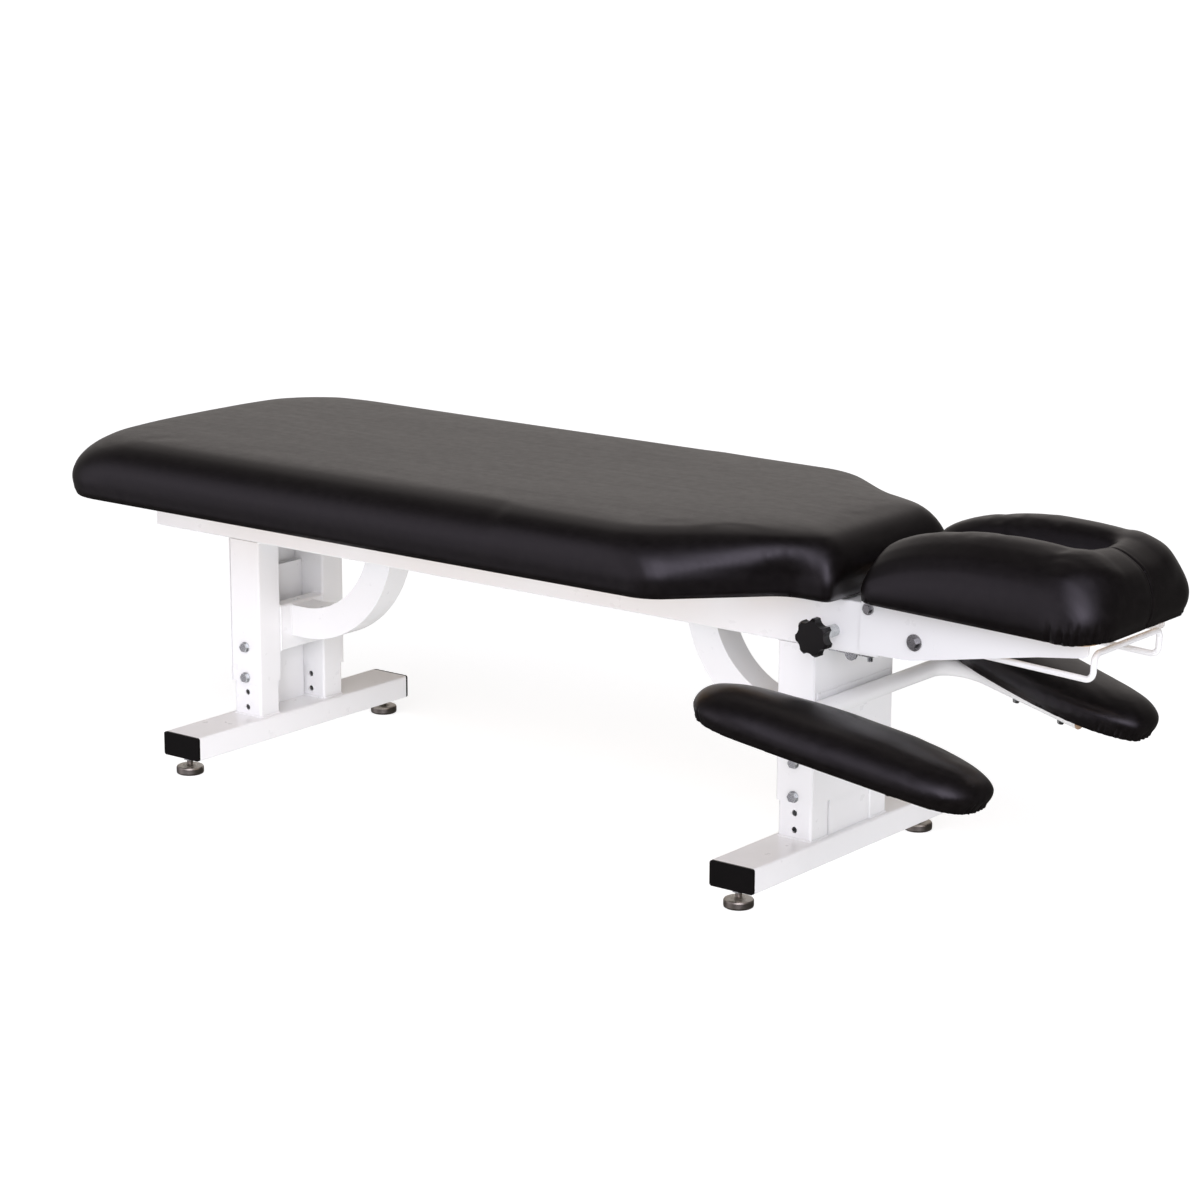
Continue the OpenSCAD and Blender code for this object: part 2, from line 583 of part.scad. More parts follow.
module armrest_pad(s) {
    pad_frame(s) difference() {
        hull() {
            linear_extrude(1) pad2(0.93, 0.975);
            translate([0, 0, 12]) linear_extrude(10) pad2(1, 1);
            translate([0, 0, pad_t*0.68]) linear_extrude(1) pad2(0.9, 0.975);
            translate([0, 0, pad_t*0.88]) linear_extrude(1) pad2(0.68, 0.93);
            translate([0, 0, pad_t - 1]) linear_extrude(1) pad2(0.35, 0.8);
        }
        translate([0, 0, -1]) linear_extrude(13) pad2(0.84, 0.93);
    }
}

white = [0.93, 0.93, 0.92];
black = [0.11, 0.09, 0.09];
zinc = [0.72, 0.73, 0.74];
color(white) base_tube(fx);  // foot_base_tube
color([0.06, 0.06, 0.06]) base_caps(fx);  // foot_base_caps
color(white) leg(fx, -1);  // foot_leg_near
color(white) leg(fx, 1);  // foot_leg_far
color(white) lower_panel(fx, -1);  // foot_lower_panel
color(zinc) lock_nuts(fx);  // foot_lock_nuts
color([0.66, 0.62, 0.57]) leveler(fx, -1);  // foot_leveler_near
color([0.66, 0.62, 0.57]) leveler(fx, 1);  // foot_leveler_far
color(white) base_tube(hx);  // head_base_tube
color([0.06, 0.06, 0.06]) base_caps(hx);  // head_base_caps
color(white) leg(hx, -1);  // head_leg_near
color(white) leg(hx, 1);  // head_leg_far
color(white) lower_panel(hx, 1);  // head_lower_panel
color(zinc) lock_nuts(hx);  // head_lock_nuts
color([0.66, 0.62, 0.57]) leveler(hx, -1);  // head_leveler_near
color([0.66, 0.62, 0.57]) leveler(hx, 1);  // head_leveler_far
color(white) sleeve(fx, -1);  // foot_sleeve_near
color(white) sleeve(fx, 1);  // foot_sleeve_far
color(white) sleeve(hx, -1);  // head_sleeve_near
color(white) sleeve(hx, 1);  // head_sleeve_far
color(white) upper_panel(fx, -1);  // foot_upper_panel
color(white) upper_panel(hx, 1);  // head_upper_panel
color(white) cross_tube(fx, 1);  // foot_cross_tube
color(white) cross_tube(hx, -1);  // head_cross_tube
color(white) brace(fx, brace_fx, 1);  // foot_brace
color(white) brace(hx, brace_hx, -1);  // head_brace
color(white) rail(-1);  // rail_near
color(white) rail(1);  // rail_far
color(white) rail_end_caps();
color(white) cross_members();
color(white) cushion_straps();
color(zinc) height_bolts();
color(zinc) height_washers();
color([0.72, 0.56, 0.38]) body_board();
color(black) body_cushion();
color(zinc) board_screws();
color(zinc) pivot_bolts();
color(zinc) pivot_nuts();
color(zinc) tilt_bracket();
color(zinc) bracket_bolts();
color([0.35, 0.2, 0.12]) friction_washers();
color(white) armrest_backplate();
color(white) armrest_bar();
color([0.62, 0.5, 0.4]) armrest_plugs();
color(white) armrest_saddles();
color(zinc) armrest_bolts();
color([0.72, 0.56, 0.38]) armrest_boards();
color(black) armrest_pad(-1);  // armrest_pad_near
color(black) armrest_pad(1);  // armrest_pad_far
color(white) plate(-1);  // headpiece_plate_near
color(white) plate(1);  // headpiece_plate_far
color(white) headpiece_crossbars();
color([0.72, 0.56, 0.38]) head_board();
color(black) head_cushion();
color(zinc) link_bolt();
color(zinc) link_spacers();
color(zinc) tilt_link();
color([0.05, 0.05, 0.05]) star_knob();
color(zinc) knob_stud();
color(white) wire_bail();
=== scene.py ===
import json
import math

import bmesh
import bpy
import numpy as np
from mathutils import Matrix, Vector


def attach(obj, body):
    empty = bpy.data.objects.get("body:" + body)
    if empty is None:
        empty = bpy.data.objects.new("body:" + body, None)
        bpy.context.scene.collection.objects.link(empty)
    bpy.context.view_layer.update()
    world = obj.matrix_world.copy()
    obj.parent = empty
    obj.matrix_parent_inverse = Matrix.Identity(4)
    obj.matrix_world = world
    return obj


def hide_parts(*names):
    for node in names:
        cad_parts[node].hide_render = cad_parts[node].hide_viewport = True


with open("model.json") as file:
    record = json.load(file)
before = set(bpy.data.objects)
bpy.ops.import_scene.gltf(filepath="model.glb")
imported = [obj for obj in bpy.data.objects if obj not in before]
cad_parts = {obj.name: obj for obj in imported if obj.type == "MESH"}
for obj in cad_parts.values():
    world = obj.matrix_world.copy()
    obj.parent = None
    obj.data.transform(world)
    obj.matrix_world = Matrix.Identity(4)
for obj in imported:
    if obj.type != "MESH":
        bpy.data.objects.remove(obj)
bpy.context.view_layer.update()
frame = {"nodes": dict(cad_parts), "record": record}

N = frame["nodes"]
rng = np.random.default_rng(7)

# ------------------------------------------------------------------ camera
YAW, PITCH, ROLL = math.radians(37.72), math.radians(13.5), math.radians(0.2)
fwd = Vector((-math.sin(YAW)*math.cos(PITCH), math.cos(YAW)*math.cos(PITCH), -math.sin(PITCH)))
right = Vector((math.cos(YAW), math.sin(YAW), 0.0))
up = right.cross(fwd)
r2 = right*math.cos(ROLL) + up*math.sin(ROLL)
u2 = up*math.cos(ROLL) - right*math.sin(ROLL)
cam_data = bpy.data.cameras.new("camera")
cam_data.sensor_width = 36.0
cam_data.lens = 3408.3/1200*36.0
cam_data.clip_end = 200.0
cam = bpy.data.objects.new("camera", cam_data)
bpy.context.scene.collection.objects.link(cam)
cam.matrix_world = Matrix(((r2.x, u2.x, -fwd.x, 3.06088), (r2.y, u2.y, -fwd.y, -3.99519), (r2.z, u2.z, -fwd.z, 1.55092), (0, 0, 0, 1)))
bpy.context.scene.camera = cam


# ------------------------------------------------------------------ node helpers
class Mat:
    """Small helper for building a procedural material."""

    def __init__(self, name):
        self.m = bpy.data.materials.new(name)
        self.m.use_nodes = True
        self.nt = self.m.node_tree
        self.bsdf = self.nt.nodes["Principled BSDF"]
        self.out = self.nt.nodes["Material Output"]
        self.tc = self.node("ShaderNodeTexCoord")

    def node(self, kind, **kw):
        n = self.nt.nodes.new(kind)
        for k, v in kw.items():
            setattr(n, k, v)
        return n

    def link(self, a, b):
        self.nt.links.new(a, b)

    def set(self, **kw):
        for k, v in kw.items():
            self.bsdf.inputs[k.replace("_", " ")].default_value = v

    def noise(self, scale, detail=4.0, rough=0.5, coord=None, stretch=None):
        n = self.node("ShaderNodeTexNoise")
        n.inputs["Scale"].default_value = scale
        n.inputs["Detail"].default_value = detail
        n.inputs["Roughness"].default_value = rough
        src = coord or self.tc.outputs["Object"]
        if stretch:
            mp = self.node("ShaderNodeMapping")
            mp.inputs["Scale"].default_value = stretch
            self.link(src, mp.inputs["Vector"])
            src = mp.outputs["Vector"]
        self.link(src, n.inputs["Vector"])
        return n.outputs["Fac"]

    def voronoi(self, scale, feature="F1", stretch=None, coord=None):
        n = self.node("ShaderNodeTexVoronoi", feature=feature)
        n.inputs["Scale"].default_value = scale
        src = coord or self.tc.outputs["Object"]
        if stretch:
            mp = self.node("ShaderNodeMapping")
            mp.inputs["Scale"].default_value = stretch
            self.link(src, mp.inputs["Vector"])
            src = mp.outputs["Vector"]
        self.link(src, n.inputs["Vector"])
        return n.outputs["Distance"]

    def ramp(self, fac, stops):
        n = self.node("ShaderNodeValToRGB")
        cr = n.color_ramp
        while len(cr.elements) > 1:
            cr.elements.remove(cr.elements[-1])
        cr.elements[0].position, cr.elements[0].color = stops[0][0], tuple(stops[0][1]) + (1,)
        for p, c in stops[1:]:
            e = cr.elements.new(p)
            e.color = tuple(c) + (1,)
        self.link(fac, n.inputs["Fac"])
        return n.outputs["Color"]

    def remap(self, fac, lo, hi, a=0.0, b=1.0):
        n = self.node("ShaderNodeMapRange")
        n.inputs["From Min"].default_value = a
        n.inputs["From Max"].default_value = b
        n.inputs["To Min"].default_value = lo
        n.inputs["To Max"].default_value = hi
        self.link(fac, n.inputs["Value"])
        return n.outputs["Result"]

    def math(self, op, a, b):
        n = self.node("ShaderNodeMath", operation=op)
        for i, v in enumerate((a, b)):
            if isinstance(v, (int, float)):
                n.inputs[i].default_value = v
            else:
                self.link(v, n.inputs[i])
        return n.outputs[0]

    def mix(self, fac, a, b):
        n = self.node("ShaderNodeMix", data_type="RGBA")
        ins = [s for s in n.inputs if s.type == "RGBA"]
        if isinstance(fac, (int, float)):
            n.inputs["Factor"].default_value = fac
        else:
            self.link(fac, n.inputs["Factor"])
        for s, v in zip(ins, (a, b)):
            if isinstance(v, tuple):
                s.default_value = v + (1,)
            else:
                self.link(v, s)
        return [s for s in n.outputs if s.type == "RGBA"][0]

    def bump(self, height, strength, distance, chain=None):
        n = self.node("ShaderNodeBump")
        n.inputs["Strength"].default_value = strength
        n.inputs["Distance"].default_value = distance
        self.link(height, n.inputs["Height"])
        if chain is not None:
            self.link(chain, n.inputs["Normal"])
        return n.outputs["Normal"]


def mat_powder():
    """Glossy white powder coat: fine orange peel, faint cloudiness, a few handling scuffs."""
    m = Mat("powder_coat")
    big = m.noise(3.0, 3, 0.55)
    fine = m.noise(42.0, 5, 0.6)
    scuff = m.noise(1.0, 5, 0.7, stretch=(90.0, 22.0, 90.0))
    mark = m.math("MULTIPLY", m.remap(scuff, 0.0, 0.30, 0.70, 0.84), m.remap(big, 0.0, 1.0, 0.48, 0.62))
    mixv = m.math("MULTIPLY", m.remap(big, 0, 1, 0.35, 0.72), m.remap(fine, 0.4, 1, 0.3, 0.75))
    base = m.ramp(mixv, [(0.0, (0.872, 0.875, 0.878)), (0.55, (0.866, 0.869, 0.872)), (1.0, (0.845, 0.848, 0.850))])
    m.link(m.mix(mark, base, (0.80, 0.798, 0.792)), m.bsdf.inputs["Base Color"])
    m.link(m.math("ADD", m.remap(fine, 0.24, 0.34), m.math("MULTIPLY", mark, 0.12)), m.bsdf.inputs["Roughness"])
    m.set(IOR=1.5, Coat_Weight=0.25, Coat_Roughness=0.12)
    peel = m.noise(620.0, 2, 0.5)
    wave = m.noise(160.0, 2, 0.5)
    n = m.bump(wave, 0.06, 0.0006)
    m.link(m.bump(peel, 0.10, 0.00025, n), m.bsdf.inputs["Normal"])
    return m.m


def mat_vinyl():
    """Upholstery vinyl: near black, fine leather-grain emboss, soft sheen, faint streaks along its run."""
    m = Mat("vinyl")
    cloud = m.noise(5.0, 3, 0.5)
    mott = m.noise(70.0, 4, 0.6)
    streak = m.noise(1.0, 4, 0.6, stretch=(7.0, 110.0, 110.0))
    grain = m.voronoi(900.0, "F1")
    crack = m.voronoi(620.0, "DISTANCE_TO_EDGE")
    shade = m.math("MULTIPLY", m.remap(mott, 0.0, 1.0, 0.35, 0.65), m.remap(cloud, 0.5, 1.0, 0.3, 0.7))
    m.link(m.ramp(shade, [(0.0, (0.0028, 0.0021, 0.0020)), (1.0, (0.0056, 0.0045, 0.0043))]), m.bsdf.inputs["Base Color"])
    rough = m.math("ADD", m.remap(mott, 0.285, 0.335, 0.3, 0.7), m.remap(crack, 0.05, 0.0, 0.0, 0.2))
    m.link(m.math("ADD", rough, m.remap(streak, -0.018, 0.018, 0.3, 0.7)), m.bsdf.inputs["Roughness"])
    m.bsdf.inputs["IOR"].default_value = 1.5
    m.bsdf.inputs["Specular IOR Level"].default_value = 0.46
    m.bsdf.inputs["Specular Tint"].default_value = (0.96, 0.90, 1.0, 1.0)
    n = m.bump(crack, 0.14, 0.00020)
    n = m.bump(grain, 0.08, 0.00010, n)
    n = m.bump(streak, 0.05, 0.0006, n)
    m.link(m.bump(mott, 0.05, 0.0010, n), m.bsdf.inputs["Normal"])
    return m.m


def mat_plastic(name, col, rough, grain=700.0, strength=0.12, spec=0.5):
    m = Mat(name)
    a = m.noise(60.0, 4, 0.6)
    lo = tuple(c*0.8 for c in col)
    hi = tuple(min(1.0, c*1.25) for c in col)
    m.link(m.ramp(a, [(0.3, lo), (0.7, hi)]), m.bsdf.inputs["Base Color"])
    m.link(m.remap(a, rough - 0.05, rough + 0.06, 0.3, 0.7), m.bsdf.inputs["Roughness"])
    m.bsdf.inputs["Specular IOR Level"].default_value = spec
    g = m.noise(grain, 3, 0.6)
    m.link(m.bump(g, strength, 0.0003), m.bsdf.inputs["Normal"])
    return m.m


def mat_zinc(name, a, b, rough, brush=0.06):
    m = Mat(name)
    blotch = m.noise(90.0, 4, 0.65)
    fine = m.noise(600.0, 3, 0.6)
    m.link(m.ramp(blotch, [(0.3, a), (0.7, b)]), m.bsdf.inputs["Base Color"])
    m.link(m.math("ADD", m.remap(blotch, rough - 0.05, rough + 0.08, 0.3, 0.7), m.remap(fine, -0.03, 0.03, 0.3, 0.7)), m.bsdf.inputs["Roughness"])
    m.set(Metallic=1.0)
    m.link(m.bump(fine, brush, 0.0002), m.bsdf.inputs["Normal"])
    return m.m


def mat_turned():
    """Satin nickel with fine turning marks around the vertical axis of each foot."""
    m = Mat("satin_nickel")
    a = m.noise(60.0, 3, 0.6)
    ring = m.noise(1.0, 3, 0.6, stretch=(20.0, 20.0, 1600.0))
    m.link(m.ramp(a, [(0.3, (0.31, 0.278, 0.242)), (0.7, (0.44, 0.403, 0.362))]), m.bsdf.inputs["Base Color"])
    m.link(m.remap(a, 0.27, 0.38, 0.3, 0.7), m.bsdf.inputs["Roughness"])
    m.set(Metallic=1.0)
    m.link(m.bump(ring, 0.12, 0.0002), m.bsdf.inputs["Normal"])
    return m.m


def mat_ply():
    m = Mat("plywood")
    grain = m.noise(1.0, 6, 0.6, stretch=(6.0, 160.0, 160.0))
    wide = m.noise(1.0, 3, 0.55, stretch=(1.6, 16.0, 16.0))
    s = m.math("ADD", m.remap(grain, 0.0, 0.55, 0.3, 0.7), m.remap(wide, 0.0, 0.45, 0.3, 0.7))
    m.link(m.ramp(s, [(0.0, (0.33, 0.205, 0.11)), (0.45, (0.56, 0.39, 0.235)), (1.0, (0.68, 0.51, 0.33))]), m.bsdf.inputs["Base Color"])
    m.link(m.remap(grain, 0.5, 0.72, 0.3, 0.7), m.bsdf.inputs["Roughness"])
    m.link(m.bump(grain, 0.25, 0.0006), m.bsdf.inputs["Normal"])
    return m.m


POWDER, VINYL, PLY = mat_powder(), mat_vinyl(), mat_ply()
PLUG = mat_plastic("moulded_black", (0.0030, 0.0025, 0.0024), 0.46, spec=0.12)
KNOB = mat_plastic("knob_plastic", (0.0050, 0.0043, 0.0042), 0.40, 900.0, 0.10, spec=0.30)
TAN = mat_plastic("tan_plastic", (0.33, 0.23, 0.155), 0.5)
FIBRE = mat_plastic("friction_fibre", (0.20, 0.10, 0.055), 0.75, 400.0, 0.5)
ZINC = mat_zinc("zinc_plate", (0.50, 0.52, 0.52), (0.68, 0.70, 0.70), 0.26)
DARK_ZINC = mat_zinc("dull_zinc", (0.30, 0.30, 0.30), (0.50, 0.50, 0.50), 0.28)
NICKEL = mat_turned()

BY_SLOT = {"frame_white": POWDER, "vinyl": VINYL, "end_plug": PLUG, "knob_black": KNOB, "zinc": ZINC,
           "foot_nickel": NICKEL, "plywood": PLY, "fibre": FIBRE, "tan_plug": TAN}
DARK_NODES = {"pivot_bolts", "link_bolt"}
for sp in frame["record"]["subparts"]:
    o = N[sp["node"]]
    mat = DARK_ZINC if sp["node"] in DARK_NODES else BY_SLOT[sp["material_slot"]]
    if not o.material_slots:
        o.data.materials.append(mat)
    for s in o.material_slots:
        s.material = mat

# softened edges on the CAD pieces that show
BEVEL = {"star_knob": 0.0022, "foot_base_caps": 0.0010, "head_base_caps": 0.0010, "height_bolts": 0.0005, "pivot_bolts": 0.0006,
         "link_bolt": 0.0006, "headpiece_plate_near": 0.0008, "headpiece_plate_far": 0.0008, "tilt_bracket": 0.0006, "height_washers": 0.0003,
         "foot_upper_panel": 0.0004, "head_upper_panel": 0.0004, "foot_lower_panel": 0.0004, "head_lower_panel": 0.0004, "cushion_straps": 0.0008,
         "armrest_saddles": 0.0008, "armrest_backplate": 0.0006, "bracket_bolts": 0.0005, "board_screws": 0.0004, "body_board": 0.0012,
         "foot_brace": 0.0022, "head_brace": 0.0022}
for name, w in BEVEL.items():
    o = N[name]
    b = o.modifiers.new("edge", "BEVEL")
    b.width = w
    b.segments = 3
    b.limit_method = "ANGLE"
    b.angle_limit = math.radians(32)
    b.harden_normals = False


# ------------------------------------------------------------------ mesh helpers
def add_mesh(name, verts, faces, mat, smooth=True):
    me = bpy.data.meshes.new(name)
    me.from_pydata([tuple(v) for v in verts], [], [tuple(f) for f in faces])
    me.validate()
    me.update()
    o = bpy.data.objects.new(name, me)
    bpy.context.scene.collection.objects.link(o)
    if mat:
        me.materials.append(mat)
    if smooth:
        me.polygons.foreach_set("use_smooth", [True]*len(me.polygons))
    return o


def surface_nets(F, lo, h):
    """Quads on the zero surface of the sampled field F (negative inside)."""
    nx, ny, nz = F.shape
    s = F < 0
    cnt = np.zeros((nx - 1, ny - 1, nz - 1), np.float32)
    acc = np.zeros((nx - 1, ny - 1, nz - 1, 3), np.float32)
    offs = [(0, 0, 0), (1, 0, 0), (0, 1, 0), (1, 1, 0), (0, 0, 1), (1, 0, 1), (0, 1, 1), (1, 1, 1)]

    def corner(A, o):
        return A[o[0]:nx - 1 + o[0], o[1]:ny - 1 + o[1], o[2]:nz - 1 + o[2]]

    for a in range(8):
        for b in range(a + 1, 8):
            d = np.subtract(offs[b], offs[a])
            if np.abs(d).sum() != 1:
                continue
            fa, fb = corner(F, offs[a]), corner(F, offs[b])
            cross = corner(s, offs[a]) != corner(s, offs[b])
            t = np.where(cross, fa/np.where(cross, fa - fb, 1), 0)
            for k in range(3):
                acc[..., k] += np.where(cross, offs[a][k] + t*d[k], 0)
            cnt += cross
    active = cnt > 0
    idx = -np.ones(active.shape, np.int64)
    cells = np.argwhere(active)
    idx[active] = np.arange(len(cells))
    P = cells + acc[active]/cnt[active][:, None]
    verts = np.asarray(lo) + P*h
    quads = []
    for ax in range(3):
        b, c = (ax + 1) % 3, (ax + 2) % 3
        sl = [slice(None)]*3
        sl2 = [slice(None)]*3
        sl[ax] = slice(0, -1)
        sl2[ax] = slice(1, None)
        ch = s[tuple(sl)] != s[tuple(sl2)]
        e = np.argwhere(ch)
        e = e[(e[:, b] > 0) & (e[:, c] > 0) & (e[:, b] < F.shape[b] - 1) & (e[:, c] < F.shape[c] - 1)]
        q = []
        for ob, oc in ((-1, -1), (0, -1), (0, 0), (-1, 0)):
            p = e.copy()
            p[:, b] += ob
            p[:, c] += oc
            q.append(idx[p[:, 0], p[:, 1], p[:, 2]])
        q = np.stack(q, 1)
        flip = ~s[e[:, 0], e[:, 1], e[:, 2]]
        q[flip] = q[flip][:, ::-1]
        quads.append(q)
    return verts, np.concatenate(quads)


def fillet(pts, radii, n=9):
    """Closed outline with every corner rounded by its own radius."""
    out = []
    m = len(pts)
    for i in range(m):
        p0, p1, p2 = (np.array(pts[(i + k) % m], float) for k in (-1, 0, 1))
        a, b = p0 - p1, p2 - p1
        la, lb = np.linalg.norm(a), np.linalg.norm(b)
        a, b = a/la, b/lb
        ang = math.acos(max(-1, min(1, float(a @ b))))
        r = radii[i]
        t = r/math.tan(ang/2)
        c = p1 + (a + b)/np.linalg.norm(a + b)*r/math.sin(ang/2)
        s, e = p1 + a*t, p1 + b*t
        vs, ve = s - c, e - c
        a0 = math.atan2(vs[1], vs[0])
        d = (math.atan2(ve[1], ve[0]) - a0 + math.pi) % (2*math.pi) - math.pi
        for k in range(n + 1):
            th = a0 + d*k/n
            out.append((c[0] + r*math.cos(th), c[1] + r*math.sin(th)))
    return np.array(out)


def sd_poly(x, y, pts):
    """Signed distance to a closed outline, negative inside."""
    shape = x.shape
    x, y = x.ravel(), y.ravel()
    best = np.full(x.shape, 1e9)
    inside = np.zeros(x.shape, bool)
    m = len(pts)
    for i in range(m):
        ax, ay = pts[i]
        bx, by = pts[(i + 1) % m]
        ex, ey = bx - ax, by - ay
        L = ex*ex + ey*ey
        if L < 1e-18:
            continue
        wx, wy = x - ax, y - ay
        t = np.clip((wx*ex + wy*ey)/L, 0, 1)
        best = np.minimum(best, (wx - ex*t)**2 + (wy - ey*t)**2)
        cond = (ay > y) != (by > y)
        if ey != 0:
            inside ^= cond & (x < ax + (y - ay)*ex/ey)
    d = np.sqrt(best)
    return np.where(inside, -d, d).reshape(shape)


def smax(a, b, k):
    h = np.maximum(k - np.abs(a - b), 0)/k
    return np.maximum(a, b) + h*h*k*0.25


def smin(a, b, k):
    return -smax(-a, -b, k)


def sstep(a, b, x):
    t = np.clip((x - a)/(b - a), 0, 1)
    return t*t*(3 - 2*t)


def grid(lo, hi, h):
    n = [int(math.ceil((hi[k] - lo[k])/h)) + 1 for k in range(3)]
    return n


def coords(o):
    co = np.empty(len(o.data.vertices)*3)
    o.data.vertices.foreach_get("co", co)
    return co.reshape(-1, 3)


def set_coords(o, co):
    o.data.vertices.foreach_set("co", np.asarray(co, np.float64).ravel())
    o.data.update()


def normals(o):
    no = np.empty(len(o.data.vertices)*3)
    o.data.vertices.foreach_get("normal", no)
    return no.reshape(-1, 3)


def smooth_mesh(o, factor, repeat):
    """Plain Laplacian smoothing on the mesh graph."""
    me = o.data
    e = np.empty(len(me.edges)*2, np.int32)
    me.edges.foreach_get("vertices", e)
    e = e.reshape(-1, 2)
    co = coords(o)
    deg = np.bincount(e.ravel(), minlength=len(co))[:, None].astype(float)
    for _ in range(repeat):
        s = np.zeros_like(co)
        for k in range(3):
            s[:, k] = np.bincount(e[:, 0], co[e[:, 1], k], len(co)) + np.bincount(e[:, 1], co[e[:, 0], k], len(co))
        co += factor*(s/deg - co)
    set_coords(o, co)


def subdivide(o, levels=1):
    m = o.modifiers.new("sub", "SUBSURF")
    m.levels = m.render_levels = levels
    dg = bpy.context.evaluated_depsgraph_get()
    me = bpy.data.meshes.new_from_object(o.evaluated_get(dg))
    old = o.data
    o.modifiers.clear()
    o.data = me
    bpy.data.meshes.remove(old)
    me.polygons.foreach_set("use_smooth", [True]*len(me.polygons))
    me.update()


def graph_smooth(o, f, repeat):
    """Averages a per-point value over the mesh graph."""
    e = np.empty(len(o.data.edges)*2, np.int32)
    o.data.edges.foreach_get("vertices", e)
    e = e.reshape(-1, 2)
    deg = np.bincount(e.ravel(), minlength=len(f)).astype(float)
    f = f.copy()
    for _ in range(repeat):
        s = np.bincount(e[:, 0], f[e[:, 1]], len(f)) + np.bincount(e[:, 1], f[e[:, 0]], len(f))
        f = 0.4*f + 0.6*s/deg
    return f


def inflate(items, frames=20):
    """Cloth simulation of several closed covers at once: air pressure inside, stapled rim held, each point's move capped.
    items: (object, pinned mask, pressure, swell, height of folds kept, where folds may show)."""
    sc = bpy.context.scene
    start = {}
    for o, pin, pressure, swell, fold, where in items:
        vg = o.vertex_groups.new(name="pin")
        vg.add([int(i) for i in np.nonzero(pin)[0]], 1.0, "REPLACE")
        c = o.modifiers.new("cover", "CLOTH")
        st = c.settings
        st.quality = 5
        st.mass = 0.3
        st.tension_stiffness = 15
        st.compression_stiffness = 15
        st.shear_stiffness = 5
        st.bending_stiffness = 0.8
        st.use_pressure = True
        st.uniform_pressure_force = pressure
        st.vertex_group_mass = "pin"
        st.effector_weights.gravity = 0.0
        c.collision_settings.use_collision = False
        c.point_cache.frame_start = 1
        c.point_cache.frame_end = frames
        start[o.name] = coords(o)
    for f in range(1, frames + 1):
        sc.frame_set(f)
    dg = bpy.context.evaluated_depsgraph_get()
    res = {}
    for o, pin, pressure, swell, fold, where in items:
        ev = o.evaluated_get(dg)
        me = ev.to_mesh()
        co = np.empty(len(me.vertices)*3)
        me.vertices.foreach_get("co", co)
        res[o.name] = co.reshape(-1, 3).copy()
        ev.to_mesh_clear()
    for o, pin, pressure, swell, fold, where in items:
        o.modifiers.clear()
        a, nn = start[o.name], normals(o)
        s = ((res[o.name] - a)*nn).sum(1)
        wide = graph_smooth(o, s, 60)
        fine = graph_smooth(o, s - wide, 4)
        fine = fold*np.tanh(fine/fold)*where
        print("SIM", o.name, len(a), "out", round(float(s.mean())*1000, 2), "max", round(float(s.max())*1000, 1), "fine", round(float(np.abs(fine).max())*1000, 2), round(float(np.abs(fine).mean())*1000, 3))
        set_coords(o, a + nn*np.where(pin, 0, swell + fine)[:, None])
    sc.frame_set(1)


def outline_step(co, pts, target, weight):
    """Moves points sideways so that their distance inside the outline becomes target, by weight."""
    e = 0.0006
    x, y = co[:, 0], co[:, 1]
    d = sd_poly(x, y, pts)
    gx = (sd_poly(x + e, y, pts) - sd_poly(x - e, y, pts))/(2*e)
    gy = (sd_poly(x, y + e, pts) - sd_poly(x, y - e, pts))/(2*e)
    k = np.maximum(np.hypot(gx, gy), 1e-3)
    m = (-target - d)*weight
    co = co.copy()
    co[:, 0] += m*gx/k
    co[:, 1] += m*gy/k
    return co


# ------------------------------------------------------------------ body cushion
BODY_PTS = [(-0.9144, -0.3048), (0.284, -0.3048), (0.425, -0.161), (0.4992, -0.161), (0.4992, 0.161), (0.425, 0.161), (0.284, 0.3048), (-0.9144, 0.3048)]
BODY_LOW = fillet(BODY_PTS, [0.095, 0.075, 0.060, 0.018, 0.018, 0.060, 0.075, 0.095])
BODY_TPT = [(-0.9144, -0.3048), (0.252, -0.3048), (0.398, -0.205), (0.462, -0.173), (0.4992, -0.138), (0.4992, 0.138), (0.462, 0.173), (0.398, 0.205), (0.252, 0.3048), (-0.9144, 0.3048)]
BODY_TOP = fillet(BODY_TPT, [0.148, 0.150, 0.120, 0.120, 0.040, 0.040, 0.120, 0.120, 0.150, 0.148], 14)
BODY_WIDE = fillet(BODY_PTS, [0.230, 0.130, 0.060, 0.030, 0.030, 0.060, 0.130, 0.230], 14)
BZ, BT = 0.4405, 0.5385


def side_inset(z, zb=BZ):
    """How far the side stands in from its widest line near the bottom."""
    low = 0.0046*(1 - sstep(0.0, 0.034, z - zb))
    lip = 0.0030*(1 - np.sqrt(np.clip(1 - np.clip((0.004 - (z - zb))/0.004, 0, 1)**2, 0, 1)))
    return low + lip


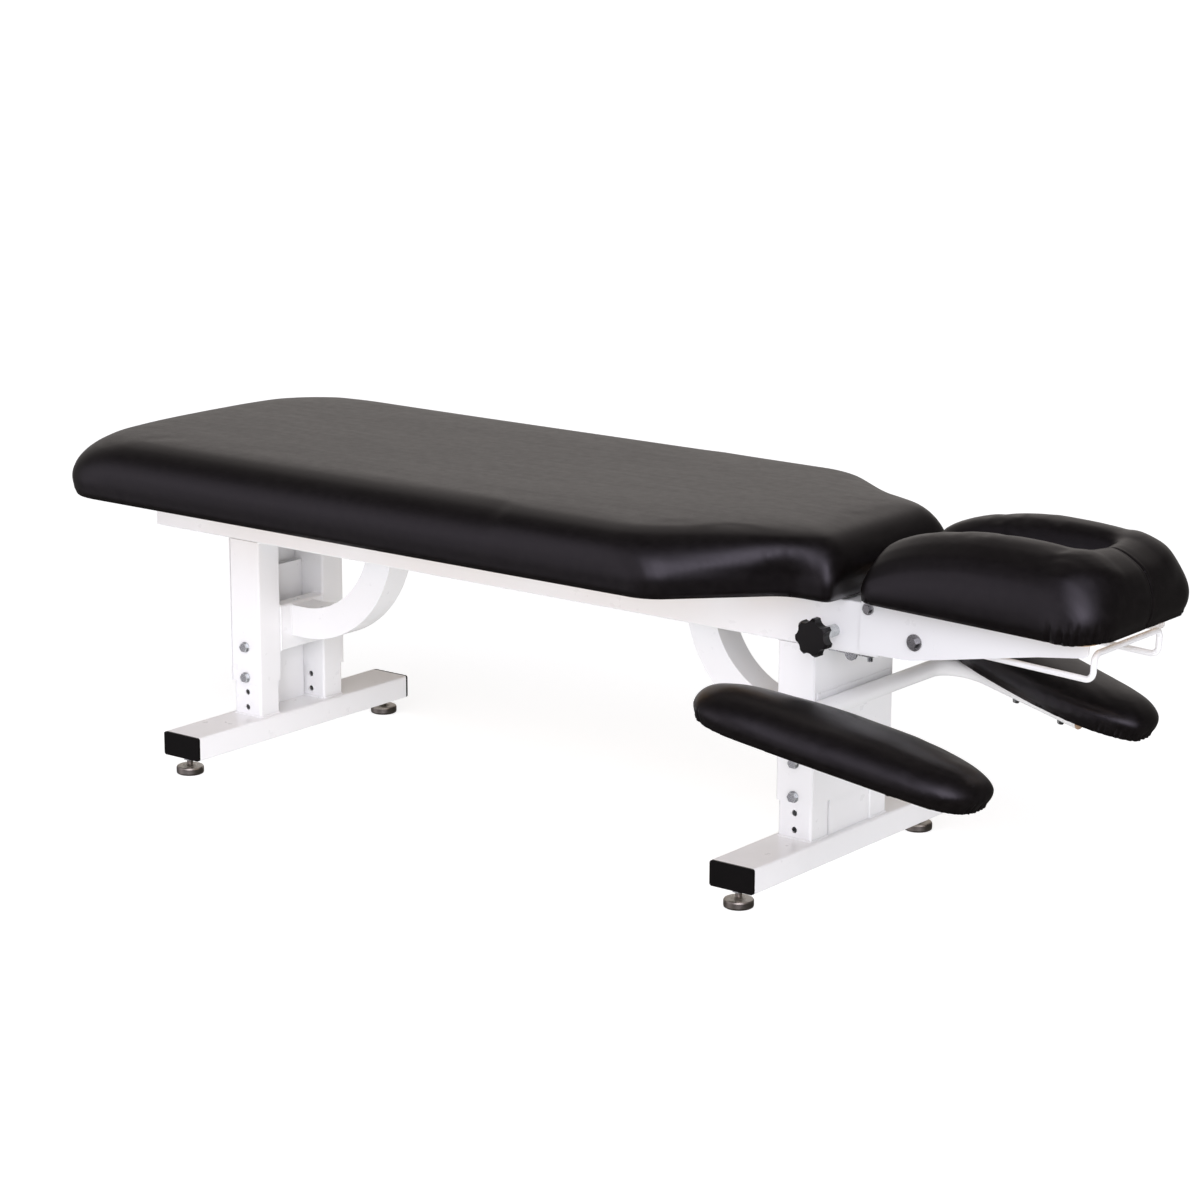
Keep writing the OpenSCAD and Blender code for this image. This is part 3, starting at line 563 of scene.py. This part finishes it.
def make_body():
    h = 0.0080
    g = 0.003
    lo = np.array([-0.9144 - 0.03, -0.3048 - 0.03, BZ - 0.02])
    hi = np.array([0.4992 + 0.03, 0.3048 + 0.03, BT + 0.03])
    n = grid(lo, hi, h)
    xs, ys, zs = (lo[k] + h*np.arange(n[k]) for k in range(3))
    X, Y = np.meshgrid(xs, ys, indexing="ij")
    dl = sd_poly(X, Y, BODY_LOW)[:, :, None]
    dt = sd_poly(X, Y, BODY_TOP)[:, :, None]
    Z = zs[None, None, :]
    w = sstep(0.466, 0.528, Z)
    d2 = dl*(1 - w) + dt*w + side_inset(Z) + g
    # broad fall towards the neck end
    fall = 2.6*np.clip(0.120 + dt[:, :, 0], 0, 0.135)**2.5*sstep(0.22, 0.42, X) + 0.006*sstep(-0.070, 0.020, sd_poly(X, Y, BODY_WIDE))*(X < 0)
    crown = 0.0025*sstep(-0.16, -0.01, dt[:, :, 0])
    top = (BT - g - fall - crown)[:, :, None]
    rx, rz = (0.060 - 0.018*sstep(0.33, 0.42, X))[:, :, None], 0.042
    ax, az = np.maximum(d2 + rx, 0)/rx, np.maximum(Z - top + rz, 0)/rz
    F = np.where(az > 0, (np.sqrt(ax*ax + az*az) - 1)*0.046, d2)
    F = np.where((az > 0) & (ax <= 0), (az - 1)*rz, F)
    F = smax(F, BZ - Z, 0.004)
    v, q = surface_nets(F, lo, h)
    o = add_mesh("body_cushion_cover", v, q, VINYL)
    smooth_mesh(o, 0.5, 3)
    z = coords(o)[:, 2]
    return o, z < BZ + 0.006, 0.6, g, 0.0007, sstep(0.470, 0.500, z)


# ------------------------------------------------------------------ head cushion
TILT = math.radians(1.85)
PIV = np.array([0.527, 0.0, 0.429])
HZ, HTOP = 0.4468, 0.5637


def tilt(co):
    """From the headpiece's level frame to where it stands."""
    c, s = math.cos(TILT), math.sin(TILT)
    d = co - PIV
    return PIV + np.stack([d[:, 0]*c + d[:, 2]*s, d[:, 1], -d[:, 0]*s + d[:, 2]*c], 1)


HEAD_PLAN = fillet([(0.5245, -0.1530), (0.9125, -0.1530), (0.9125, 0.1530), (0.5245, 0.1530)], [0.030, 0.064, 0.064, 0.030], 12)
HEAD_HIGH = fillet([(0.5245, -0.1530), (0.9105, -0.1530), (0.9105, 0.1530), (0.5245, 0.1530)], [0.040, 0.128, 0.128, 0.040], 16)
CREST = np.array([(0.500, 0.470), (0.5245, 0.488), (0.529, 0.509), (0.540, 0.5190), (0.555, 0.5275), (0.576, 0.5365), (0.600, 0.5445), (0.626, 0.5510), (0.650, 0.5555),
                  (0.673, 0.5590), (0.700, 0.5618), (0.730, 0.5632), (0.765, 0.5640), (0.786, 0.5637), (0.812, 0.5620), (0.835, 0.5600), (0.858, 0.5545), (0.877, 0.5460),
                  (0.888, 0.5396), (0.898, 0.5330), (0.906, 0.5270), (0.912, 0.5160), (0.916, 0.5000), (0.940, 0.4800)])


def hem(x):
    """Height of the head cushion's hem: it rises a little at the head end."""
    return HZ + 0.0042*sstep(0.862, 0.905, x)


def make_head():
    h = 0.0040
    g = 0.002                                       # room that the cover swells into
    lo = np.array([0.505, -0.172, HZ - 0.014])
    hi = np.array([0.935, 0.172, HZ + 0.135])
    n = grid(lo, hi, h)
    xs, ys, zs = (lo[k] + h*np.arange(n[k]) for k in range(3))
    X, Y = np.meshgrid(xs, ys, indexing="ij")
    plan = (sd_poly(X, Y, HEAD_PLAN) + g)[:, :, None]
    high = (sd_poly(X, Y, HEAD_HIGH) + g)[:, :, None]
    top = np.interp(xs, CREST[:, 0], CREST[:, 1])
    k = np.ones(7)/7
    top = np.convolve(np.pad(top, 3, mode="edge"), k, mode="valid")
    shift = (HTOP - top)                            # the section hangs from the crest line
    half = [(0.1475, 0.380), (0.1475, 0.447), (0.1512, 0.462), (0.1520, 0.480), (0.1492, 0.500), (0.1415, 0.521), (0.1280, 0.5390), (0.1090, 0.5530), (0.0900, 0.5620), (0.0760, 0.5650),
            (0.0610, 0.5625), (0.0470, 0.5520), (0.0360, 0.5350), (0.0290, 0.5130), (0.0255, 0.4880), (0.0245, 0.4600), (0.0245, 0.380)]
    solid = [(0.1475, 0.380), (0.1475, 0.447), (0.1512, 0.462), (0.1520, 0.480), (0.1492, 0.500), (0.1415, 0.521), (0.1280, 0.5390), (0.1090, 0.5515), (0.0900, 0.5590), (0.0700, 0.5632),
             (0.0450, 0.5645), (0.0200, 0.5628), (0.0, 0.5615)]
    full = np.array(solid + [(-y, z) for y, z in solid[-2::-1]])
    half = np.array(half)
    # sections sampled once on a fine sheet, then looked up at the shifted height
    zz = np.arange(HZ - 0.03, HTOP + 0.16, 0.001)
    YS, ZS = np.meshgrid(ys, zz, indexing="ij")
    sec_lobe, sec_full = sd_poly(np.abs(YS), ZS, half), sd_poly(YS, ZS, full)
    nz = len(zs)
    C = np.empty((len(xs), len(ys), nz))
    D = np.empty_like(C)
    for i, s in enumerate(shift):
        zq = zs + s
        t = (zq - zz[0])/0.001
        j = np.clip(t.astype(int), 0, len(zz) - 2)
        f = np.clip(t - j, 0, 1)
        # below the rounding the walls are upright, so they are read at their own height
        C[i] = sec_lobe[:, j]*(1 - f) + sec_lobe[:, j + 1]*f
        D[i] = sec_full[:, j]*(1 - f) + sec_full[:, j + 1]*f
    x3, z3 = xs[:, None, None], zs[None, None, :]
    foot = 0.0040*(1 - sstep(0.0, 0.022, z3 - HZ))  # drawn in a little at the hem
    wall = 0.829 - 0.008*sstep(0.49, 0.555, z3)
    join = smax(D + g, wall - x3 + g, 0.030)
    F = smin(C + g, join, 0.014)
    curl = 0.0045*(1 - sstep(0.0, 0.032, z3 - HZ))*sstep(0.84, 0.90, x3)
    w = sstep(0.475, 0.548, z3)
    F = smax(F + foot, plan*(1 - w) + high*w + foot + curl, 0.014)
    F = smax(F, hem(x3) - z3, 0.003)
    v, q = surface_nets(F, lo, h)
    o = add_mesh("head_cushion_cover", v, q, VINYL)
    smooth_mesh(o, 0.5, 3)
    c = coords(o)
    z = c[:, 2] - hem(c[:, 0]) + HZ
    return o, z < HZ + 0.004, 4.0, g, 0.0018, sstep(HZ + 0.006, HZ + 0.026, z)


# ------------------------------------------------------------------ armrest pads
PITCH_A = math.radians(12.4)
BAR = np.array([0.45045, 0.0, 0.2704])
PAD_C = (0.1395, 0.2517)
PAD_Z = 0.0162
PAD_TOE = math.radians(12.1)
PAD_L, PAD_T = 0.4336, 0.053


def arm_place(co):
    """From the pitched armrest frame to the row frame."""
    c, s = math.cos(PITCH_A), math.sin(PITCH_A)
    return BAR + np.stack([co[:, 0]*c + co[:, 2]*s, co[:, 1], -co[:, 0]*s + co[:, 2]*c], 1)


def pad_place(co, side):
    """From the far pad's own frame (mirrored for the near one) to the row frame."""
    c, s = math.cos(-PAD_TOE), math.sin(-PAD_TOE)
    x = co[:, 0]*c - co[:, 1]*s + PAD_C[0]
    y = co[:, 0]*s + co[:, 1]*c + PAD_C[1]
    return arm_place(np.stack([x, side*y, co[:, 2] + PAD_Z], 1))


def pad_outline(k=1.0, m=1.0, n=60):
    L = PAD_L/2
    u = np.sin(np.linspace(-math.pi/2, math.pi/2, n))
    out = [(m*L*a*(1.06 if a < 0 else 1), k*0.0754*math.sqrt(max(0, 1 - abs(a)**(6.7 if a < 0 else 8)))) for a in u]
    out += [(m*L*a*(1.06 if a < 0 else 1), -k*0.0709*math.sqrt(max(0, 1 - abs(a)**2.15))) for a in u[::-1][1:-1]]
    return np.array(out)


PAD_OUT = pad_outline()


def make_pad(side):
    h = 0.0038
    g = 0.0018
    lo = np.array([-PAD_L/2 - 0.02, -0.095, -0.014])
    hi = np.array([PAD_L/2 + 0.02, 0.095, PAD_T + 0.02])
    n = grid(lo, hi, h)
    xs, ys, zs = (lo[k] + h*np.arange(n[k]) for k in range(3))
    X, Y = np.meshgrid(xs, ys, indexing="ij")
    d2 = (sd_poly(X, Y, PAD_OUT) + g)[:, :, None]
    Z = zs[None, None, :]
    zt = PAD_T - g
    rx, rz = 0.058, 0.034
    tip = sstep(0.14, 0.20, xs)[:, None, None]
    d2 = d2 + (0.0072 + 0.004*tip)*(1 - sstep(0.0, 0.018 + 0.01*tip, Z))
    zt = (zt - 0.0060*sstep(0.15, 0.225, -xs) - 0.0045*sstep(0.15, 0.217, xs))[:, None, None]
    ax, az = np.maximum(d2 + rx, 0)/rx, np.maximum(Z - zt + rz, 0)/rz
    F = np.where(az > 0, (np.sqrt(ax*ax + az*az) - 1)*0.040, d2)
    F = np.where((az > 0) & (ax <= 0), (az - 1)*rz, F)
    F = smax(F, -0.0010 - Z, 0.003)
    v, q = surface_nets(F, lo, h)
    o = add_mesh("armrest_cover_near" if side < 0 else "armrest_cover_far", v, q, VINYL)
    smooth_mesh(o, 0.5, 3)
    z = coords(o)[:, 2]
    return o, z < 0.0030, 4.0, g, 0.0014, sstep(0.004, 0.016, z)


body = make_body()
head = make_head()
pad_n = make_pad(-1)
pad_f = make_pad(1)
inflate([body, head, pad_n, pad_f])
body, head = body[0], head[0]


def flow_noise(p, scale, seed=0):
    """Cheap smooth noise for cloth unevenness: sums of sines with seeded directions."""
    r = np.random.default_rng(seed)
    out = np.zeros(len(p))
    for k in range(10):
        d = r.normal(size=3)
        d /= np.linalg.norm(d)
        out += np.sin(p @ d*scale*(0.6 + 1.1*r.random()) + r.random()*6.28)
    return out/10**0.5


# body cushion: finish
subdivide(body)
co, no = coords(body), normals(body)
co = co + no*(0.0008*sstep(0.46, 0.50, co[:, 2])*flow_noise(co, 14.0, 3))[:, None]
d = sd_poly(co[:, 0], co[:, 1], BODY_LOW)
# the side near the board follows the board's outline exactly; the rim is turned under, the rest is up inside the board
co[:, 2] = np.where((no[:, 2] < -0.6) | (co[:, 2] < BZ), BZ, co[:, 2])
side = (d > -0.022) & (co[:, 2] < 0.49)
w = np.where(side, 1 - sstep(0.456, 0.486, co[:, 2]), 0.0)
edge = (co[:, 2] <= BZ + 1e-6)
tgt = np.where(edge, np.maximum(-d, side_inset(BZ)), side_inset(co[:, 2]))
co = outline_step(co, BODY_LOW, tgt, w)
d = sd_poly(co[:, 0], co[:, 1], BODY_LOW)
co[:, 2] = np.where(edge & (d < -0.034), 0.4440, co[:, 2])
set_coords(body, co)
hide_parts("body_cushion")
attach(body, "frame")

# head cushion: centre seam, gathers at the corners of the cover, then tilted into place
subdivide(head)
co, no = coords(head), normals(head)
x, y, z = co[:, 0], co[:, 1], co[:, 2]
seam_on = sstep(0.838, 0.852, x)*(z > 0.452)
groove = np.exp(-(np.abs(y)/0.0015)**2)
soft = np.exp(-(np.abs(y)/0.010)**2)
lips = np.exp(-((np.abs(y) - 0.0040)/0.0018)**2)
co = co - no*(seam_on*(0.0017*groove + 0.0010*soft - 0.0004*lips))[:, None]


def gathers(co, no, cx, cy, ux, uy, count, pitch, depth, z0, z1, seed, lean=0.0):
    """Short pleats that run up from the stapled edge near (cx, cy), spaced along the direction (ux, uy)."""
    r = np.random.default_rng(seed)
    out = np.zeros(len(co))
    s = (co[:, 0] - cx)*ux + (co[:, 1] - cy)*uy
    off = np.abs((co[:, 0] - cx)*-uy + (co[:, 1] - cy)*ux)
    near = np.exp(-(off/0.05)**4)
    for i in range(count):
        c = (i - (count - 1)/2)*pitch + r.normal()*pitch*0.16
        top = z1 - (z1 - z0)*0.30*r.random()
        w = pitch*0.17*(0.85 + 0.4*r.random())
        sl = lean*(i - (count - 1)/2)/max(count, 1) + r.normal()*0.05
        p = s - c - sl*(co[:, 2] - z0)
        fade = 1 - sstep(z0 + 0.25*(top - z0), top, co[:, 2])
        dd = depth*(0.7 + 0.6*r.random())
        out -= near*fade*dd*np.exp(-(p/w)**2)
        out += near*fade*dd*0.55*(np.exp(-((p - 2.1*w)/(1.2*w))**2) + np.exp(-((p + 2.1*w)/(1.2*w))**2))*0.6
    return co + no*out[:, None]


for sy in (-1, 1):
    co = gathers(co, no, 0.874, sy*0.130, 0.80, -sy*0.60, 7, 0.0118, 0.0021, HZ, 0.486, 11 + sy, 0.25)
    co = gathers(co, no, 0.536, sy*0.143, 0.80, sy*0.60, 4, 0.0060, 0.0010, HZ, 0.463, 21 + sy, 0.2)
co = co + no*(0.0006*sstep(0.46, 0.50, co[:, 2])*flow_noise(co, 40.0, 5))[:, None]
rim = hem(co[:, 0])
under = (no[:, 2] < -0.6) | (co[:, 2] < rim)
co[:, 2] = np.where(under, rim - 0.0004, co[:, 2])
inner = under & (sd_poly(co[:, 0], co[:, 1], HEAD_PLAN) < -0.036) & ~((np.abs(co[:, 1]) < 0.050) & (co[:, 0] < 0.86))
co[:, 2] = np.where(inner, np.maximum(0.4495, rim), co[:, 2])
set_coords(head, tilt(co))
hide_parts("head_cushion")
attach(head, "headpiece")

for (o, *_), side in ((pad_n, -1), (pad_f, 1)):
    subdivide(o)
    co, no = coords(o), normals(o)
    # pleats under both round ends, where the cover is pulled under the board
    for cx, cy, ux, uy, cnt, sd in ((0.196, -0.028, 0.62, 0.78, 7, 1), (-0.200, -0.020, 0.50, -0.86, 6, 2), (0.205, 0.030, 0.45, -0.89, 4, 3), (-0.205, 0.035, 0.40, 0.91, 4, 4)):
        co = gathers(co, no, cx, cy, ux, uy, cnt, 0.0105, 0.0018, 0.0, 0.026, 40 + sd + side, 0.2)
    co = co + no*(0.0005*sstep(0.01, 0.03, co[:, 2])*flow_noise(co, 45.0, 9 + side))[:, None]
    under = (no[:, 2] < -0.6) | (co[:, 2] < -0.0008)
    co[:, 2] = np.where(under, -0.0008, co[:, 2])
    inner = under & (sd_poly(co[:, 0], co[:, 1], PAD_OUT) < -0.024)
    co[:, 2] = np.where(inner, 0.0030, co[:, 2])
    set_coords(o, pad_place(co, side))
    if side < 0:
        o.data.flip_normals()
    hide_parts("armrest_pad_near" if side < 0 else "armrest_pad_far")
    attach(o, "frame")


# ------------------------------------------------------------------ weld beads
def bead(points, r, pitch=0.0034, seed=0):
    """Rippled bead of weld metal along a polyline: returns vertices and faces."""
    rr = np.random.default_rng(seed)
    vs, fs = [], []
    for a, b in zip(points[:-1], points[1:]):
        a, b = np.array(a, float), np.array(b, float)
        L = np.linalg.norm(b - a)
        d = (b - a)/L
        u = np.cross(d, [0, 0, 1.0]) if abs(d[2]) < 0.9 else np.cross(d, [1.0, 0, 0])
        u /= np.linalg.norm(u)
        v = np.cross(d, u)
        n = max(int(L/(pitch/4)), 4)
        m = 8
        base = len(vs)
        for i in range(n + 1):
            t = i/n
            end = min(1.0, min(t, 1 - t)*L/0.003 + 0.25)
            k = r*end*(1 + 0.10*math.sin(2*math.pi*t*L/pitch) + 0.08*(rr.random() - 0.5))
            for j in range(m):
                th = 2*math.pi*j/m
                vs.append(a + d*L*t + k*(u*math.cos(th) + v*math.sin(th)))
        for i in range(n):
            for j in range(m):
                fs.append((base + i*m + j, base + i*m + (j + 1) % m, base + (i + 1)*m + (j + 1) % m, base + (i + 1)*m + j))
        fs.append(tuple(base + j for j in range(m))[::-1])
        fs.append(tuple(base + n*m + j for j in range(m)))
    return vs, fs


def welds(name, body_name, paths, r=0.0024, place=None):
    V, F = [], []
    for k, p in enumerate(paths):
        v, f = bead(p, r, seed=k)
        F += [tuple(i + len(V) for i in q) for q in f]
        V += v
    V = np.array(V)
    if place:
        V = place(V)
    o = add_mesh(name, V, F, POWDER)
    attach(o, body_name)
    return o


def loop(x0, x1, y0, y1, z):
    return [(x0, y0, z), (x1, y0, z), (x1, y1, z), (x0, y1, z), (x0, y0, z)]


def yloop(x0, x1, z0, z1, y):
    return [(x0, y, z0), (x1, y, z0), (x1, y, z1), (x0, y, z1), (x0, y, z0)]


def xloop(y0, y1, z0, z1, x):
    return [(x, y0, z0), (x, y1, z0), (x, y1, z1), (x, y0, z1), (x, y0, z0)]


for nm, body_name, x0, x1 in (("foot_base_welds", "foot_base", -0.7074, -0.6496), ("head_base_welds", "head_base", 0.3742, 0.4318)):
    welds(nm, body_name, [loop(x0, x1, sy*0.0537, sy*0.0987, 0.0667) for sy in (-1, 1)])
paths = []
for x0, x1, xf, xb in ((-0.7103, -0.6467, -0.6467, -0.6722), (0.3713, 0.4347, 0.3713, 0.3966)):
    for sy in (-1, 1):
        paths += [[(x0, sy*0.0515, 0.3588), (x0, sy*0.1005, 0.3588)], [(x1, sy*0.0515, 0.3588), (x1, sy*0.1005, 0.3588)], [(x0 + 0.003, sy*0.0508, 0.3588), (x1 - 0.003, sy*0.0508, 0.3588)]]
        paths += [[(xf, sy*0.0508, 0.1700), (xf, sy*0.0508, 0.2462)], [(xf, sy*0.0508, 0.2462), (xb, sy*0.0508, 0.2462)], [(xf, sy*0.0508, 0.1700), (xb, sy*0.0508, 0.1700)]]
for x, sgn in ((-0.6467, 1), (0.3713, -1)):
    paths.append(xloop(-0.0254, 0.0254, 0.1918, 0.2426, x))
for x0, x1 in ((-0.4776, -0.4268), (0.1513, 0.2021)):
    paths.append(loop(x0, x1, -0.0254, 0.0254, 0.3816))
welds("frame_welds", "frame", paths, 0.0021)
paths = []
for xc, zc, w2, h2 in ((0.575, 0.4343, 0.0127, 0.0127), (0.8325, 0.437, 0.0127, 0.0100)):
    for sy in (-1, 1):
        paths.append(yloop(xc - w2, xc + w2, zc - h2, zc + h2, sy*0.1015))
welds("headpiece_welds", "headpiece", paths, 0.0022, tilt)


# ------------------------------------------------------------------ staples under the covers
def staples(name, body_name, outline, inset, pitch, z, place=None, skip=None):
    pts = np.vstack([outline, outline[:1]])
    seg = np.diff(pts, axis=0)
    Ls = np.hypot(seg[:, 0], seg[:, 1])
    cum = np.concatenate([[0], np.cumsum(Ls)])
    r = np.random.default_rng(len(name))
    V, F = [], []
    t = pitch/2
    area2 = float((pts[:-1, 0]*pts[1:, 1] - pts[1:, 0]*pts[:-1, 1]).sum())
    while t < cum[-1]:
        i = int(np.searchsorted(cum, t, side="right") - 1)
        f = (t - cum[i])/max(Ls[i], 1e-9)
        c = pts[i]*(1 - f) + pts[i + 1]*f
        d = seg[i]/Ls[i]
        nrm = np.array([-d[1], d[0]])*(1 if area2 > 0 else -1)
        c = c + nrm*(inset + 0.002*(r.random() - 0.5))
        a = math.atan2(d[1], d[0]) + 0.25*(r.random() - 0.5)
        t += pitch*(0.85 + 0.3*r.random())
        if skip and skip(c):
            continue
        u, w = np.array([math.cos(a), math.sin(a)]), np.array([-math.sin(a), math.cos(a)])
        b = len(V)
        # wire crown with its two bent shoulders
        prof = [(-0.0052, 0.0012), (-0.0050, 0.0), (-0.0042, -0.0005), (0.0042, -0.0005), (0.0050, 0.0), (0.0052, 0.0012)]
        for px_, pz_ in prof:
            for s1, s2 in ((-1, 0), (1, 0), (1, 1), (-1, 1)):
                xy = c + u*px_ + w*s1*0.0005
                V.append((xy[0], xy[1], z + pz_ - 0.0004 + s2*0.0006))
        for k in range(len(prof) - 1):
            for j in range(4):
                F.append((b + 4*k + j, b + 4*k + (j + 1) % 4, b + 4*k + 4 + (j + 1) % 4, b + 4*k + 4 + j))
        F.append((b, b + 3, b + 2, b + 1))
        e = b + 4*(len(prof) - 1)
        F.append((e, e + 1, e + 2, e + 3))
    V = np.array(V)
    if place:
        V = place(V)
    o = add_mesh(name, V, F, ZINC, smooth=False)
    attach(o, body_name)
    return o


staples("body_staples", "frame", BODY_LOW, 0.021, 0.030, BZ + 0.0002)
staples("head_staples", "headpiece", HEAD_PLAN, 0.024, 0.022, HZ - 0.0002, tilt)
for side, nm in ((-1, "near"), (1, "far")):
    staples("pad_staples_" + nm, "frame", PAD_OUT*0.97, 0.013, 0.018, -0.0006, lambda c, sd=side: pad_place(c, sd))

# ------------------------------------------------------------------ floor and light
floor_m = Mat("floor_paint")
fn = floor_m.noise(0.8, 3, 0.5)
floor_m.link(floor_m.ramp(fn, [(0.3, (0.44, 0.44, 0.44)), (0.7, (0.46, 0.46, 0.46))]), floor_m.bsdf.inputs["Base Color"])
floor_m.set(Roughness=0.9)
floor_m.bsdf.inputs["Specular IOR Level"].default_value = 0.1
floor_m.bsdf.inputs["Emission Color"].default_value = (1, 1, 1, 1)
floor_m.bsdf.inputs["Emission Strength"].default_value = 0.77
R = 60.0
floor = add_mesh("floor", [(-R, -R, 0), (R, -R, 0), (R, R, 0), (-R, R, 0)], [(0, 1, 2, 3)], floor_m.m, smooth=False)
floor.visible_glossy = False

world = bpy.data.worlds.new("studio")
world.use_nodes = True
bpy.context.scene.world = world
wt = world.node_tree
bg = wt.nodes["Background"]
tc = wt.nodes.new("ShaderNodeTexCoord")


def wmath(op, a, b=0.0):
    n = wt.nodes.new("ShaderNodeMath")
    n.operation = op
    for i, v in enumerate((a, b)):
        if isinstance(v, (int, float)):
            n.inputs[i].default_value = v
        else:
            wt.links.new(v, n.inputs[i])
    return n.outputs[0]


def wvec(op, a, b):
    n = wt.nodes.new("ShaderNodeVectorMath")
    n.operation = op
    wt.links.new(a, n.inputs[0])
    if isinstance(b, tuple):
        n.inputs[1].default_value = b
    elif op == "SCALE":
        wt.links.new(b, n.inputs["Scale"])
    else:
        wt.links.new(b, n.inputs[1])
    return n


def lobe(azimuth, elevation, sharp, color):
    """A soft round light in the surroundings: azimuth from +X toward +Y, in degrees."""
    a, e = math.radians(azimuth), math.radians(elevation)
    m = (math.cos(a)*math.cos(e), math.sin(a)*math.cos(e), math.sin(e))
    dot = wvec("DOT_PRODUCT", tc.outputs["Generated"], m).outputs["Value"]
    g = wmath("EXPONENT", wmath("MULTIPLY", wmath("SUBTRACT", dot, 1.0), sharp))
    c = wt.nodes.new("ShaderNodeCombineXYZ")
    for k in range(3):
        c.inputs[k].default_value = color[k]
    return wvec("SCALE", c.outputs[0], g).outputs["Vector"]


sx = wt.nodes.new("ShaderNodeSeparateXYZ")
wt.links.new(tc.outputs["Generated"], sx.inputs[0])
rp = wt.nodes.new("ShaderNodeValToRGB")
rp.color_ramp.interpolation = "EASE"
for pos, col in ((0.0, (0.05, 0.048, 0.046)), (0.5, (0.026, 0.024, 0.023)), (1.0, (0.018, 0.017, 0.016))):
    if pos == 0.0:
        rp.color_ramp.elements.remove(rp.color_ramp.elements[-1])
        rp.color_ramp.elements[0].position, rp.color_ramp.elements[0].color = pos, col + (1,)
    else:
        rp.color_ramp.elements.new(pos).color = col + (1,)
wt.links.new(sx.outputs["Z"], rp.inputs["Fac"])
total = rp.outputs["Color"]
for args in ((-53, 27, 10.0, (3.30, 3.20, 3.60)), (-130, 6, 7.0, (0.80, 0.76, 0.84)), (128, 12, 7.0, (0.46, 0.434, 0.412)), (118, 42, 8.0, (0.40, 0.372, 0.350)), (30, 10, 8.0, (0.06, 0.06, 0.06))):
    total = wvec("ADD", total, lobe(*args)).outputs["Vector"]
wt.links.new(total, bg.inputs["Color"])
bg.inputs["Strength"].default_value = 1.0
bpy.context.scene.view_settings.view_transform = "Standard"
sun = bpy.data.lights.new("overhead", "SUN")
sun.energy = 1.62
sun.angle = math.radians(100)
sun_o = bpy.data.objects.new("overhead", sun)
bpy.context.scene.collection.objects.link(sun_o)
sun_o.rotation_euler = Vector((-0.60, 0.65, -0.55)).to_track_quat("-Z", "Y").to_euler()
sun_o.visible_glossy = False
